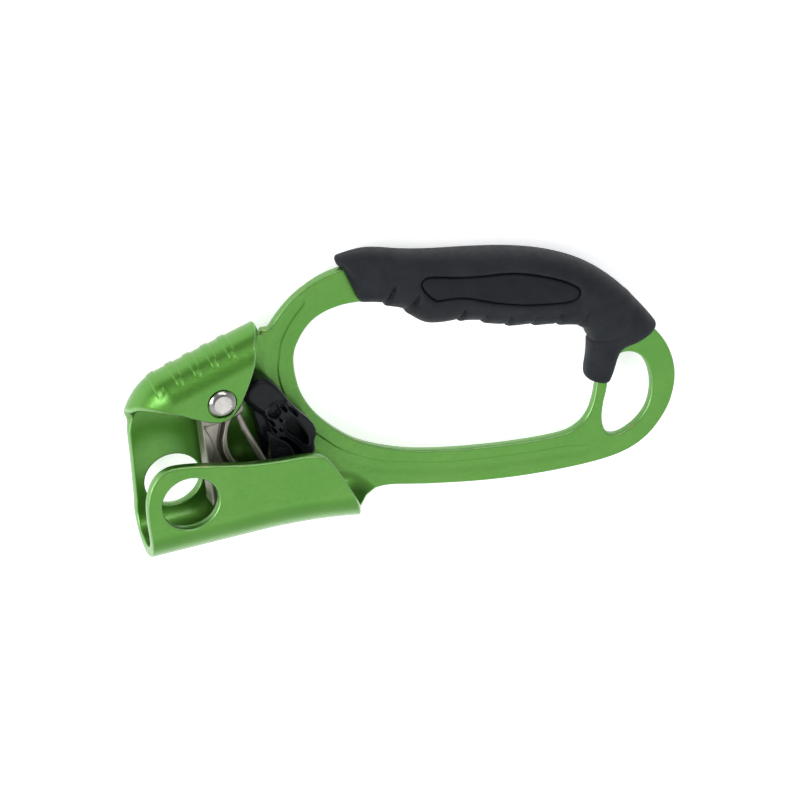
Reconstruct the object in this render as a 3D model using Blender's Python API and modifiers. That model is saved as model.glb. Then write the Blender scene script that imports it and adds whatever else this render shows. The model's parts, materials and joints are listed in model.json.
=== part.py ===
"""Hand ascender for a climbing rope, lying on its side: one bent aluminium frame with a rubber grip,
a toothed steel cam on a rivet, and a plastic safety catch on the cam.

The rope runs along X through the U-shaped gutter at low Y, and leaves towards -X. The rivet that
the cam turns on stands along Z. Design positions are in millimetres from the rivet's axis, with
Z = 0 on the front face of the flat plate; one empty carries that frame to the part's origin, which
is under the middle of the part.
"""
import bpy
import bmesh
import math
from mathutils import Vector, Matrix

MM = 0.001
GAP = 0.3                        # clearance left between neighbouring pieces
MERGE = 1e-6                     # metres: distance at which a piece's own points are welded
SHARP = math.radians(35.0)       # edges sharper than this are shaded as edges

# frame sheet
SHEET = 3.5                      # thickness of the plate
MID_Z = -SHEET / 2               # its middle surface, the front face being Z = 0
FLANGE_FACE = 21.5               # front of the gutter's free wall
GUTTER_R = (FLANGE_FACE + SHEET) / 2 - SHEET / 2      # bend radius of the middle surface
GUTTER_Y = -38.4                 # where the plate starts to bend into the gutter
FLARE = 3.3                      # how far the gutter widens at its right end
FLARE_FROM = 5.0
FLARE_TO = 42.0
GUTTER_STEP = 15.0               # degrees of bend between two facet lines

# hood, folded over the cam's hub along a slanted line
HOOD_FACE = 16.0                 # front face of the folded flap
HOOD_ANGLE = math.radians(15.0)
HOOD_ALONG = Vector((math.cos(HOOD_ANGLE), math.sin(HOOD_ANGLE)))
HOOD_ACROSS = Vector((-math.sin(HOOD_ANGLE), math.cos(HOOD_ANGLE)))
HOOD_R = (HOOD_FACE + SHEET) / 2 - SHEET / 2
HOOD_START = 7.0                 # distance of the fold's start from the rivet, across the fold
HOOD_TAPER_FROM = -14.0          # to the left of this the fold narrows
HOOD_TAPER_TO = -31.0
HOOD_TAPER_R = 3.0
HOOD_TAPER_START = -1.0
HOOD_END = 22.9                  # the relief slot beside the hood, along its fold

# rivet and cam
RIVET_R = 3.5
SEAT_DEPTH = 0.8                 # of the recess in the flap that the rivet's head sits in
RIVET_HEAD_R = 4.65
RIVET_HEAD_H = 0.9
RIVET_FLAT_R = 3.1
RIVET_TAIL_R = 5.2
RIVET_TAIL_H = 1.8
BUSH_R = 4.8
WASHER_R = 7.4
BACK_WASHER_FRONT = 0.95
HUB_R = 8.2
CAM_BACK = 3.2
CAM_FRONT = 11.8
HUB_BACK = 5.2
HUB_FRONT = 10.9
TOOTH_PITCH = 2.6
TOOTH_HEIGHT = 1.1
TOOTH_TIP = 0.78                 # where along its pitch a tooth peaks: it leans away from the rope's exit
NOSE = [(-6.9, -35.8), (-5.9, -38.2), (-3.9, -40.6), (-0.4, -42.6), (4.8, -44.0), (10.4, -44.5), (15.6, -43.6),
        (19.2, -41.4)]           # roots of the teeth, from the rope's exit towards the handle
NOSE_CHAMFER = 2.4               # off the nose's back edge, which faces the gutter's round floor
CAM_RIB = [(19.6, -35.0), (17.6, -31.2), (15.0, -29.6), (11.0, -29.0), (7.0, -28.8), (4.4, -26.6), (2.3, -23.0),
           (1.1, -19.3), (1.0, -15.4), (1.8, -11.6), (3.6, -7.8)]
CAM_WEB = [(-5.0, -9.6), (-1.2, -9.2), (-0.9, -12.0), (-1.6, -15.4), (-1.6, -18.8), (-0.6, -22.4), (1.0, -26.0),
           (1.4, -29.6), (-2.0, -31.5), (-4.9, -25.0), (-4.3, -18.0)]
WEB_DEPTH = 2.2
LUG = [(2.0, -3.0), (5.0, -0.6), (7.6, -3.2), (8.1, -5.2), (7.5, -6.4), (5.4, -7.4), (3.2, -7.8)]
LUG_BACK = 7.4
LUG_FRONT = 11.7
ROD = [(5.4, -5.0), (7.7, -13.4), (14.2, -31.0)]
ROD_R = 1.2
ROD_Z = 9.6
EAR = [(11.5, -31.0), (14.6, -29.2), (16.6, -22.6), (19.0, -21.6), (21.4, -22.7), (22.1, -24.7), (21.4, -27.0),
       (17.0, -31.6)]

# catch
CATCH_PIN = Vector((19.0, -24.7))
CATCH_PIN_R = 1.6
CATCH_BACK = 1.6
CATCH_FRONT = 10.8
CATCH_CHAMFER = 1.8              # lets the pad swing up inside the hood as the cam opens
CATCH_ARM_FRONT = 7.4            # the arm passes behind the cam's rod
EAR_BACK = 5.0
EAR_FRONT = 7.6

# spring wires
CAM_SPRING_WIRE_R = 0.55
CAM_SPRING_R = 6.4
CATCH_SPRING_WIRE_R = 0.35
CATCH_SPRING_R = 2.7

# where the design frame's zero sits in the part's own frame
PART_ZERO = Vector((-65.97, 13.76, 12.53))


# ---------------------------------------------------------------- scene helpers

def clear_scene():
    for item in list(bpy.data.objects):
        bpy.data.objects.remove(item, do_unlink=True)
    for group in list(bpy.data.collections):
        bpy.data.collections.remove(group)


def make_collection():
    parts = bpy.data.collections.new("ascender")
    bpy.context.scene.collection.children.link(parts)
    return parts


def material(name, colour, roughness, metallic):
    made = bpy.data.materials.new(name)
    made.use_nodes = True
    shader = made.node_tree.nodes["Principled BSDF"]
    shader.inputs["Base Color"].default_value = (*colour, 1.0)
    shader.inputs["Roughness"].default_value = roughness
    shader.inputs["Metallic"].default_value = metallic
    return made


def empty(name, location, parent=None):
    made = bpy.data.objects.new(name, None)
    made.empty_display_size = 0.01
    made.location = Vector(location) * MM
    made.parent = parent
    PARTS.objects.link(made)
    return made


def keep(piece, name, finish, parent, pivot=(0.0, 0.0, 0.0)):
    """Name a finished piece, move its origin to its pivot, and hang it on its parent empty."""
    piece.name = name
    piece.data.name = name
    piece.data.transform(Matrix.Translation(-Vector(pivot) * MM))
    piece.data.materials.clear()
    piece.data.materials.append(finish)
    piece.data.shade_smooth()
    piece.data.set_sharp_from_angle(angle=SHARP)
    piece.parent = parent
    return piece


def link(name, mesh):
    made = bpy.data.objects.new(name, mesh)
    PARTS.objects.link(made)
    return made


def from_bmesh(name, shape):
    bmesh.ops.recalc_face_normals(shape, faces=shape.faces)
    mesh = bpy.data.meshes.new(name)
    shape.to_mesh(mesh)
    shape.free()
    return link(name, mesh)


def curve_to_mesh(curve_object):
    """Turn a curve object into a closed mesh object."""
    bpy.context.view_layer.update()
    depsgraph = bpy.context.evaluated_depsgraph_get()
    mesh = bpy.data.meshes.new_from_object(curve_object.evaluated_get(depsgraph))
    shape = bmesh.new()
    shape.from_mesh(mesh)
    bmesh.ops.remove_doubles(shape, verts=shape.verts, dist=1e-6)
    bmesh.ops.recalc_face_normals(shape, faces=shape.faces)
    shape.to_mesh(mesh)
    shape.free()
    made = link(curve_object.name, mesh)
    bpy.data.objects.remove(curve_object, do_unlink=True)
    return made


def combine(target, tool, operation):
    """Apply one exact Boolean and drop the tool."""
    step = target.modifiers.new("step", 'BOOLEAN')
    step.operation = operation
    step.object = tool
    step.solver = 'EXACT'
    bpy.context.view_layer.update()
    depsgraph = bpy.context.evaluated_depsgraph_get()
    mesh = bpy.data.meshes.new_from_object(target.evaluated_get(depsgraph))
    target.modifiers.remove(step)
    target.data = mesh
    bpy.data.objects.remove(tool, do_unlink=True)
    return target


def cut(target, *tools):
    for tool in tools:
        combine(target, tool, 'DIFFERENCE')
    return target


def join(target, *tools):
    for tool in tools:
        combine(target, tool, 'UNION')
    return target


def merge_flat(target, degrees=0.05):
    """Dissolve the edges that Booleans leave across flat faces."""
    shape = bmesh.new()
    shape.from_mesh(target.data)
    bmesh.ops.remove_doubles(shape, verts=shape.verts, dist=2e-6)
    bmesh.ops.dissolve_limit(shape, angle_limit=math.radians(degrees), verts=shape.verts, edges=shape.edges)
    shape.to_mesh(target.data)
    shape.free()
    return target


# ---------------------------------------------------------------- outlines

def smooth(points, steps, closed=False):
    """Points of a Catmull-Rom curve through the given ones."""
    count = len(points)
    path = [Vector(p) for p in points]
    spans = count if closed else count - 1
    made = []
    for i in range(spans):
        if closed:
            before, start, end, after = (path[(i + k) % count] for k in (-1, 0, 1, 2))
        else:
            before, start, end, after = (path[min(max(i + k, 0), count - 1)] for k in (-1, 0, 1, 2))
        for k in range(steps):
            t = k / steps
            made.append(0.5 * (2 * start + (end - before) * t
                               + (2 * before - 5 * start + 4 * end - after) * t ** 2
                               + (3 * start - before - 3 * end + after) * t ** 3))
    if not closed:
        made.append(path[-1])
    return made


def circle(centre, radius, count, squash=1.0):
    """Points round a circle, or an ellipse flattened across by the squash factor."""
    return [Vector((centre[0] + radius * math.cos(2 * math.pi * i / count),
                    centre[1] + radius * squash * math.sin(2 * math.pi * i / count))) for i in range(count)]


def area(outline):
    following = outline[1:] + outline[:1]
    return 0.5 * sum(p.x * q.y - q.x * p.y for p, q in zip(outline, following))


def grow(outline, distance):
    """Move every point of a closed outline outwards by a distance."""
    side = 1.0 if area(outline) > 0 else -1.0
    count = len(outline)
    made = []
    for i, point in enumerate(outline):
        first = (point - outline[i - 1]).normalized()
        second = (outline[(i + 1) % count] - point).normalized()
        first_out = Vector((first.y, -first.x)) * side
        second_out = Vector((second.y, -second.x)) * side
        across = (first_out + second_out).normalized()
        made.append(point + across * distance / max(across.dot(first_out), 0.5))
    return made


def prism(name, outlines, low, high):
    """A flat outline, with any holes in it, made solid between two heights."""
    data = bpy.data.curves.new(name, 'CURVE')
    data.dimensions = '2D'
    data.fill_mode = 'BOTH'
    data.extrude = (high - low) / 2 * MM
    for outline in outlines:
        spline = data.splines.new('POLY')
        spline.points.add(len(outline) - 1)
        for corner, point in zip(spline.points, outline):
            corner.co = (point[0] * MM, point[1] * MM, 0.0, 1.0)
        spline.use_cyclic_u = True
    made = bpy.data.objects.new(name, data)
    made.location.z = (low + high) / 2 * MM
    PARTS.objects.link(made)
    solid = curve_to_mesh(made)
    solid.data.transform(Matrix.Translation((0.0, 0.0, (low + high) / 2 * MM)))
    return solid


def turned(name, profile, sides=32, closed=True):
    """Turn a profile of (radius, height) points, listed down its outer side, round the Z axis."""
    shape = bmesh.new()
    corners = [shape.verts.new((r * MM, 0.0, z * MM)) for r, z in profile]
    for first, second in zip(corners, corners[1:]):
        shape.edges.new((first, second))
    if closed:
        shape.edges.new((corners[-1], corners[0]))
    mesh = bpy.data.meshes.new(name)
    shape.to_mesh(mesh)
    shape.free()
    made = link(name, mesh)
    spin = made.modifiers.new("spin", 'SCREW')
    spin.axis = 'Z'
    spin.steps = sides
    spin.render_steps = sides
    spin.use_merge_vertices = True
    spin.merge_threshold = MERGE
    return made


def cylinder(name, centre, radius, low, high, sides=32):
    shape = bmesh.new()
    place = Matrix.Translation((centre[0] * MM, centre[1] * MM, (low + high) / 2 * MM))
    bmesh.ops.create_cone(shape, cap_ends=True, segments=sides, radius1=radius * MM, radius2=radius * MM,
                          depth=(high - low) * MM, matrix=place)
    return from_bmesh(name, shape)


def wire(name, points, radius, resolution=2):
    """A round wire through the given points."""
    data = bpy.data.curves.new(name, 'CURVE')
    data.dimensions = '3D'
    data.bevel_depth = radius * MM
    data.bevel_resolution = resolution
    data.use_fill_caps = True
    spline = data.splines.new('POLY')
    spline.points.add(len(points) - 1)
    for corner, point in zip(spline.points, points):
        corner.co = (*(Vector(point) * MM), 1.0)
    made = bpy.data.objects.new(name, data)
    PARTS.objects.link(made)
    return curve_to_mesh(made)


def coil(radius, low, high, turns, start, centre=(0.0, 0.0), per_turn=16):
    """Points along a helix."""
    count = int(turns * per_turn)
    made = []
    for i in range(count + 1):
        angle = start + 2 * math.pi * turns * i / count
        made.append(Vector((centre[0] + radius * math.cos(angle), centre[1] + radius * math.sin(angle),
                            low + (high - low) * i / count)))
    return made


def loft(name, sections):
    """A closed skin over rings that all have the same number of points."""
    shape = bmesh.new()
    rings = [[shape.verts.new(Vector(p) * MM) for p in ring] for ring in sections]
    for here, after in zip(rings, rings[1:]):
        count = len(here)
        for k in range(count):
            shape.faces.new((here[k], here[(k + 1) % count], after[(k + 1) % count], after[k]))
    shape.faces.new(rings[0])
    shape.faces.new(rings[-1])
    return from_bmesh(name, shape)


# ---------------------------------------------------------------- the bent sheet

def gutter_start(x):
    """Height on the flat sheet where it starts to bend into the gutter."""
    flare = FLARE * (max(x - FLARE_FROM, 0.0) / (FLARE_TO - FLARE_FROM)) ** 2.2
    runout = 0.06 * max(x - FLARE_TO, 0.0) ** 2
    return GUTTER_Y - flare - runout


def hood_bend(along):
    """Bend radius and start of the hood's fold at a place along it."""
    t = min(max((HOOD_TAPER_FROM - along) / (HOOD_TAPER_FROM - HOOD_TAPER_TO), 0.0), 1.1)
    radius = HOOD_R - (HOOD_R - HOOD_TAPER_R) * t ** 1.5
    start = HOOD_START - (HOOD_START - HOOD_TAPER_START) * t ** 2.5
    return radius, start


def bent(x, y):
    """Where a point of the flat sheet's middle surface ends up after bending."""
    start = gutter_start(x)
    if y < start:
        run = start - y
        turn = min(run / GUTTER_R, math.pi)
        rest = max(run - math.pi * GUTTER_R, 0.0)
        return Vector((x, start - GUTTER_R * math.sin(turn) + rest, MID_Z + GUTTER_R * (1 - math.cos(turn))))
    flat = Vector((x, y))
    along = flat.dot(HOOD_ALONG)
    radius, fold = hood_bend(along)
    run = flat.dot(HOOD_ACROSS) - fold
    if run > 0 and along < HOOD_END and y > -20.0:
        turn = min(run / radius, math.pi)
        rest = max(run - math.pi * radius, 0.0)
        place = HOOD_ALONG * along + HOOD_ACROSS * (fold + radius * math.sin(turn) - rest)
        return Vector((place.x, place.y, MID_Z + radius * (1 - math.cos(turn))))
    return Vector((x, y, MID_Z))


def bend_sheet(flat):
    """Bend a flat solid sheet, keeping its thickness square to the bent middle surface."""
    step = 0.01
    for corner in flat.data.vertices:
        x, y, z = corner.co / MM
        ahead = bent(x + step, y) - bent(x - step, y)
        aside = bent(x, y + step) - bent(x, y - step)
        across = ahead.cross(aside).normalized()
        corner.co = (bent(x, y) + across * (z - MID_Z)) * MM


def in_gutter(x, degrees):
    """Flat-sheet point that lies at an angle round the gutter's bend."""
    return Vector((x, gutter_start(x) - GUTTER_R * math.radians(degrees)))


def on_flange(x, y):
    """Flat-sheet point that ends up at (x, y) on the gutter's free wall."""
    return Vector((x, 2 * gutter_start(x) - y - math.pi * GUTTER_R))


def on_hood(along, run):
    """Flat-sheet point at a distance along the hood's fold and a run past the fold's start."""
    return HOOD_ALONG * along + HOOD_ACROSS * (hood_bend(along)[1] + run)


HANDLE_OUTER = [(23.6, 15.2), (25.4, 17.6), (30.9, 22.8), (36.6, 26.4), (44.0, 29.4), (53.0, 30.6), (63.0, 29.2),
                (80.0, 25.4), (100.0, 21.4), (118.0, 16.6), (130.0, 10.6), (140.0, 2.6), (149.0, -7.0),
                (155.5, -15.0), (161.0, -23.2), (163.5, -31.0), (163.6, -38.5), (161.2, -46.2), (157.3, -52.1),
                (151.5, -57.5), (144.6, -60.8), (135.9, -62.3), (123.0, -62.4), (106.6, -61.3), (90.1, -59.1),
                (73.7, -55.9), (65.6, -54.0), (58.0, -52.2), (53.2, -51.9)]
OPENING = [(30.3, 2.1), (30.9, -8.8), (34.9, -18.4), (41.6, -26.8), (50.2, -33.9), (62.8, -39.9), (76.2, -43.7),
           (92.6, -46.7), (109.0, -48.7), (121.4, -49.2), (126.8, -47.8), (130.4, -45.0), (133.0, -40.6),
           (135.2, -33.6), (136.6, -24.0), (136.6, -14.0), (132.5, -6.0), (123.0, -0.5), (108.0, 4.5),
           (90.0, 9.5), (70.0, 14.4), (55.0, 17.2), (46.0, 17.2), (38.5, 14.6), (33.0, 8.9)]
EYE = [(145.8, -24.6), (149.6, -25.4), (152.4, -27.8), (154.2, -31.7), (154.9, -37.2), (154.2, -42.4),
       (152.2, -47.2), (148.3, -51.2), (143.0, -53.9), (139.0, -54.1), (136.5, -52.0), (135.7, -47.4),
       (136.8, -41.9), (138.6, -36.8), (140.2, -31.0), (142.4, -26.4)]
CARABINER_HOLE = (-16.7, -30.4)
CARABINER_HOLE_R = 9.9
CARABINER_HOLE_SQUASH = 0.92


def blank_outline(steps):
    """The outer edge of the flat sheet, before bending."""
    bar = smooth(HANDLE_OUTER, steps)
    bottom = smooth([HANDLE_OUTER[-1], (50.2, -53.3), in_gutter(47.6, 52), in_gutter(45.3, 78),
                     in_gutter(43.6, 102), in_gutter(42.9, 116)], steps)[1:]
    flange = smooth([in_gutter(42.6, 125), in_gutter(41.0, 158), on_flange(38.5, -39.3), on_flange(35.1, -32.0),
                     on_flange(32.5, -27.2), on_flange(30.0, -24.9), on_flange(25.2, -23.8),
                     on_flange(16.1, -23.0), on_flange(7.1, -21.9), on_flange(-1.7, -20.1),
                     on_flange(-11.9, -17.6), on_flange(-20.5, -16.3), on_flange(-24.9, -17.2),
                     on_flange(-28.0, -19.6), on_flange(-30.2, -23.4), on_flange(-31.6, -28.6),
                     on_flange(-31.9, -36.0)], steps)
    left = [in_gutter(-31.8, 180), in_gutter(-30.9, 0), Vector((-30.4, -34.0)), Vector((-29.7, -20.0)),
            Vector((-29.4, -9.0))]
    hood = smooth([on_hood(-29.0, 0.6), on_hood(-28.6, 4.4), on_hood(-27.2, 9.4), on_hood(-25.6, 12.2),
                   on_hood(-23.8, 15.2), on_hood(-21.0, 19.9), on_hood(-16.7, 26.2), on_hood(-10.3, 33.0),
                   on_hood(-4.4, 37.7), on_hood(-0.4, 38.6), on_hood(3.3, 37.2), on_hood(8.4, 33.1),
                   on_hood(14.0, 26.8), on_hood(16.8, 22.7), on_hood(20.2, 17.2)], steps)
    corner = [on_hood(21.6, 14.8), on_hood(22.1, 12.5), on_hood(22.1, 2.0)]
    relief = [on_hood(22.5, 1.3), on_hood(23.2, 1.6), on_hood(23.6, 3.0), Vector((21.4, 15.6))]
    return bar + bottom + flange + left + hood + corner + relief


def flat_sheet(name, steps):
    """The flat blank with its openings and holes."""
    outlines = [blank_outline(steps), smooth(OPENING, steps, closed=True), smooth(EYE, steps, closed=True)]
    outlines.append(circle(CARABINER_HOLE, CARABINER_HOLE_R, 32, CARABINER_HOLE_SQUASH))
    outlines.append(circle(on_flange(*CARABINER_HOLE), CARABINER_HOLE_R, 32, CARABINER_HOLE_SQUASH))
    outlines.append(circle((0.0, 0.0), RIVET_R + GAP, 24))
    outlines.append(circle(on_hood(0.0, math.pi * HOOD_R + HOOD_START), RIVET_R + GAP, 24))
    return prism(name, outlines, -SHEET, 0.0)


def handle_room(name, steps):
    """The space that the plate takes up inside the grip, with clearance all round."""
    outer = smooth(HANDLE_OUTER, steps) + [Vector((20.0, -50.0)), Vector((15.0, 0.0))]
    outlines = [grow(outer, GAP), grow(smooth(OPENING, steps, closed=True), -GAP),
                grow(smooth(EYE, steps, closed=True), -GAP)]
    return prism(name, outlines, -SHEET - GAP, GAP)


def facet_lines(flat, point, direction, inside):
    """Cut the sheet's faces along one line, but only where a test says that the sheet bends."""
    shape = bmesh.new()
    shape.from_mesh(flat.data)
    faces = [face for face in shape.faces if inside(face.calc_center_median() / MM)]
    edges = {edge for face in faces for edge in face.edges}
    corners = {corner for face in faces for corner in face.verts}
    bmesh.ops.bisect_plane(shape, geom=list(corners) + list(edges) + faces, dist=1e-7,
                           plane_co=(point[0] * MM, point[1] * MM, 0.0),
                           plane_no=(direction[0], direction[1], 0.0))
    shape.to_mesh(flat.data)
    shape.free()


def build_frame():
    sheet = flat_sheet("frame", 3)
    step = GUTTER_R * math.radians(GUTTER_STEP)
    for k in range(16):
        facet_lines(sheet, (0.0, GUTTER_Y - k * step), (0.0, 1.0), lambda c: c.x < 56.0)
    for x in (12.0, 20.0, 27.0, 32.0, 36.0, 40.0, 44.0, 48.0, 52.0):
        facet_lines(sheet, (x, 0.0), (1.0, 0.0), lambda c: c.y < GUTTER_Y + 1.0 and c.x < 57.0)
    step = HOOD_R * math.radians(GUTTER_STEP)
    for k in range(-4, 13):
        point = HOOD_ACROSS * (HOOD_START + k * step)
        facet_lines(sheet, point, HOOD_ACROSS, near_hood)
    for along in (-28.5, -26.5, -24.5, -22.5, -20.0, -17.0, -14.0):
        facet_lines(sheet, HOOD_ALONG * along, HOOD_ALONG, near_hood)
    bend_sheet(sheet)
    merge_flat(sheet)
    seat = cylinder("seat", (0.0, 0.0), RIVET_HEAD_R + GAP, HOOD_FACE - SEAT_DEPTH, HOOD_FACE + 1.0, 32)
    cut(sheet, seat)
    merge_flat(sheet)
    return sheet


def near_hood(centre):
    flat = Vector((centre.x, centre.y))
    return flat.dot(HOOD_ALONG) < HOOD_END - 0.6 and flat.dot(HOOD_ACROSS) > -6.0 and centre.y > -12.0


# ---------------------------------------------------------------- rivet, bush, washers, springs

def build_rivet():
    """One steel rivet: a bevelled front head in the flap's seat and a formed head behind the plate."""
    seat = HOOD_FACE - SEAT_DEPTH + GAP
    front = HOOD_FACE + RIVET_HEAD_H
    back = -SHEET - GAP
    tail = back - RIVET_TAIL_H
    profile = [(0.0, front), (RIVET_FLAT_R, front), (RIVET_HEAD_R, HOOD_FACE + 0.1), (RIVET_HEAD_R, seat),
               (RIVET_R, seat), (RIVET_R, back), (RIVET_TAIL_R, back), (RIVET_TAIL_R, tail + 0.8),
               (RIVET_TAIL_R - 0.8, tail), (0.0, tail)]
    return turned("pivot_rivet", profile, 40, closed=False)


def washer(name, inner, outer, low, high):
    return turned(name, [(inner, high), (outer, high), (outer, low), (inner, low)])


def build_cam_spring():
    """Torsion spring under the hub: two turns, one leg to the hood's wall and one to the cam."""
    low = BACK_WASHER_FRONT + GAP + CAM_SPRING_WIRE_R
    high = HUB_BACK - GAP - CAM_SPRING_WIRE_R
    start = math.radians(60.0)
    turns = 2.15
    path = coil(CAM_SPRING_R, low, high, turns, start)
    finish = start + 2 * math.pi * turns
    fixed = [path[0] - Vector((-math.sin(start), math.cos(start), 0.0)) * length for length in (4.5, 2.2)]
    moving = [path[-1] + Vector((-math.sin(finish), math.cos(finish), 0.0)) * length for length in (0.8, 1.6)]
    return wire("cam_spring", fixed + path + moving, CAM_SPRING_WIRE_R)


def build_catch_spring():
    """Small torsion spring round the catch's pin, in the space beside the cam's ear."""
    low = EAR_FRONT + GAP + CATCH_SPRING_WIRE_R
    high = low + 1.5
    path = coil(CATCH_SPRING_R, low, high, 1.9, 0.0, CATCH_PIN, 14)
    return wire("catch_spring", path, CATCH_SPRING_WIRE_R)


# ---------------------------------------------------------------- cam

def toothed_edge():
    """Saw teeth at an even pitch along the cam's nose."""
    path = smooth(NOSE, 8)
    made = []
    done = 0.0
    for here, after in zip(path, path[1:]):
        span = (after - here).length
        outward = Vector((after.y - here.y, here.x - after.x)) / span
        while done <= span:
            tooth_root = len(made) % 2 == 0
            made.append(here.lerp(after, done / span) + outward * (0.0 if tooth_root else TOOTH_HEIGHT))
            done += TOOTH_PITCH * (TOOTH_TIP if tooth_root else 1.0 - TOOTH_TIP)
        done -= span
    return made


def build_cam():
    teeth = toothed_edge()
    outline = [Vector((-6.9, 2.0)), Vector((-7.0, -20.0))] + teeth
    outline += smooth(CAM_RIB, 2)
    body = prism("cam", [outline], CAM_BACK, CAM_FRONT)
    hub = cylinder("hub", (0.0, 0.0), HUB_R, CAM_BACK + 0.2, HUB_FRONT, 40)
    lug = prism("lug", [[Vector(corner) for corner in LUG]], LUG_BACK, LUG_FRONT)
    rod = wire("rod", [(x, y, ROD_Z) for x, y in ROD], ROD_R, 3)
    ear = prism("ear", [[Vector(corner) for corner in EAR]], EAR_BACK, EAR_FRONT)
    join(body, hub, lug, rod, ear)
    web = prism("web", [smooth(CAM_WEB, 3, closed=True)], CAM_FRONT - WEB_DEPTH, CAM_FRONT + 1.0)
    bore = cylinder("bore", (0.0, 0.0), BUSH_R + GAP, 0.0, 20.0, 32)
    back = cylinder("back", (0.0, 0.0), HUB_R, 0.0, HUB_BACK, 40)
    front = cylinder("front", (0.0, 0.0), HUB_R, HUB_FRONT, 20.0, 40)
    pin = cylinder("pin", CATCH_PIN, CATCH_PIN_R + GAP, 0.0, 20.0, 20)
    cut(body, web, bore, back, front, pin)
    return merge_flat(cut(body, chamfer_cutter()))


def chamfer_cutter():
    """A block set at 45 degrees against the back edge of the toothed nose."""
    depth = 8.0
    shape = bmesh.new()
    bmesh.ops.create_cube(shape, size=1.0)
    bmesh.ops.scale(shape, vec=Vector((80.0, depth, depth)) * MM, verts=shape.verts)
    lowest = min(y for x, y in NOSE) - TOOTH_HEIGHT
    middle = Vector((10.0, lowest, CAM_BACK)) + Vector((0.0, NOSE_CHAMFER - depth / math.sqrt(2.0), 0.0))
    place = Matrix.Translation(middle * MM) @ Matrix.Rotation(math.radians(45.0), 4, 'X')
    bmesh.ops.transform(shape, matrix=place, verts=shape.verts)
    return from_bmesh("chamfer", shape)


# ---------------------------------------------------------------- catch

CATCH_PAD = [(9.0, -3.6), (9.6, 0.4), (11.8, 2.4), (15.3, 3.5), (18.1, 2.4), (21.1, -1.7), (24.8, -8.4),
             (27.6, -12.6), (30.2, -15.8), (31.9, -19.0), (32.2, -22.0), (31.3, -24.6), (30.9, -28.6),
             (26.5, -30.0), (19.6, -29.8), (17.0, -28.6), (16.5, -23.0), (16.3, -15.4), (15.4, -11.8),
             (12.0, -8.0)]
CATCH_ARM = [(12.6, -9.4), (13.2, -16.0), (13.4, -24.0), (14.2, -27.6), (18.0, -29.2), (20.0, -20.0),
             (18.0, -8.0)]


def build_catch():
    outline = smooth(CATCH_PAD, 3, closed=True)
    edge = grow(outline, -CATCH_CHAMFER)
    levels = ((edge, CATCH_BACK), (outline, CATCH_BACK + CATCH_CHAMFER), (outline, CATCH_FRONT - CATCH_CHAMFER),
              (edge, CATCH_FRONT))
    pad = loft("catch", [[(point.x, point.y, z) for point in ring] for ring, z in levels])
    arm = prism("arm", [smooth(CATCH_ARM, 3, closed=True)], CATCH_BACK + GAP, CATCH_ARM_FRONT)
    join(pad, arm)
    relief = prism("relief", [smooth([(16.2, -20.5), (20.5, -20.2), (22.6, -24.7), (21.0, -31.0),
                                      (10.0, -36.0), (10.0, -18.0)], 3, closed=True)],
                   EAR_BACK - GAP, EAR_FRONT + 2 * CATCH_SPRING_WIRE_R + 1.5 + 2 * GAP)
    slot_start, slot_end = Vector((22.6, -13.6)), Vector((26.6, -20.2))
    along = (slot_end - slot_start).normalized()
    aside = Vector((-along.y, along.x)) * 2.0
    ends = []
    for centre, first in ((slot_end, 0.0), (slot_start, math.pi)):
        for k in range(9):
            angle = first + math.pi * k / 8
            ends.append(centre + along * 2.0 * math.sin(angle) + aside * math.cos(angle))
    slot = prism("slot", [ends], 0.0, 20.0)
    pin = cylinder("pin", CATCH_PIN, CATCH_PIN_R + GAP, 0.0, 20.0, 20)
    scoop = cylinder("scoop", (17.8, -9.6), 4.2, 8.6, 20.0, 24)
    return merge_flat(cut(pad, relief, slot, pin, scoop))


def build_catch_pin():
    low = CATCH_BACK - 0.9
    high = CATCH_FRONT + 0.9
    profile = [(0.0, high), (CATCH_PIN_R, high), (CATCH_PIN_R, CATCH_BACK - GAP), (2.4, CATCH_BACK - GAP),
               (2.4, low), (0.0, low)]
    return turned("catch_pin", profile, 24, closed=False)


# ---------------------------------------------------------------- grip

GRIP_MIDDLE = MID_Z
LEG_MIDDLE = MID_Z + 0.05        # a hair off the main body's, so that their seams don't coincide
# centre x, centre y, across direction in degrees, half width, half thickness
GRIP_MAIN = [(52.1, 27.0, 104.0, 7.9, 5.8), (61.2, 25.8, 93.0, 9.2, 7.8), (71.4, 21.5, 79.0, 9.9, 9.2),
             (81.0, 16.5, 76.5, 12.7, 10.4), (94.5, 14.2, 73.5, 12.3, 11.0), (107.0, 10.3, 73.0, 13.5, 11.0),
             (118.3, 6.8, 63.0, 13.2, 11.0), (128.6, 2.4, 50.0, 12.0, 10.6), (138.2, -3.8, 34.0, 10.2, 9.6),
             (147.0, -12.8, 24.0, 8.6, 8.0), (152.2, -19.4, 20.5, 7.4, 5.8)]
GRIP_LEG = [(141.5, -5.0, 0.0, 6.6, 7.4), (140.6, -15.0, 0.0, 6.5, 7.0), (139.0, -22.5, -6.0, 5.9, 6.2),
            (137.0, -28.8, -12.0, 5.4, 5.6), (135.6, -33.0, -24.0, 4.1, 4.8)]
PANEL = [(75.6, 21.3), (78.3, 23.2), (88.0, 21.4), (96.1, 20.3), (108.0, 17.7), (116.0, 15.7), (123.9, 11.8),
         (129.2, 7.9), (130.4, 5.4), (128.7, 2.8), (119.0, 3.4), (106.8, 6.8), (96.5, 11.3), (88.6, 14.0),
         (84.6, 13.1), (80.5, 14.5), (76.9, 17.7)]
PAD_FACE = 8.9                   # distance of the pads' outer face from the plate's front face
CORE_FACE = 5.0
SQUARENESS = 2.4                 # exponent of the grip's rounded section


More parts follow.
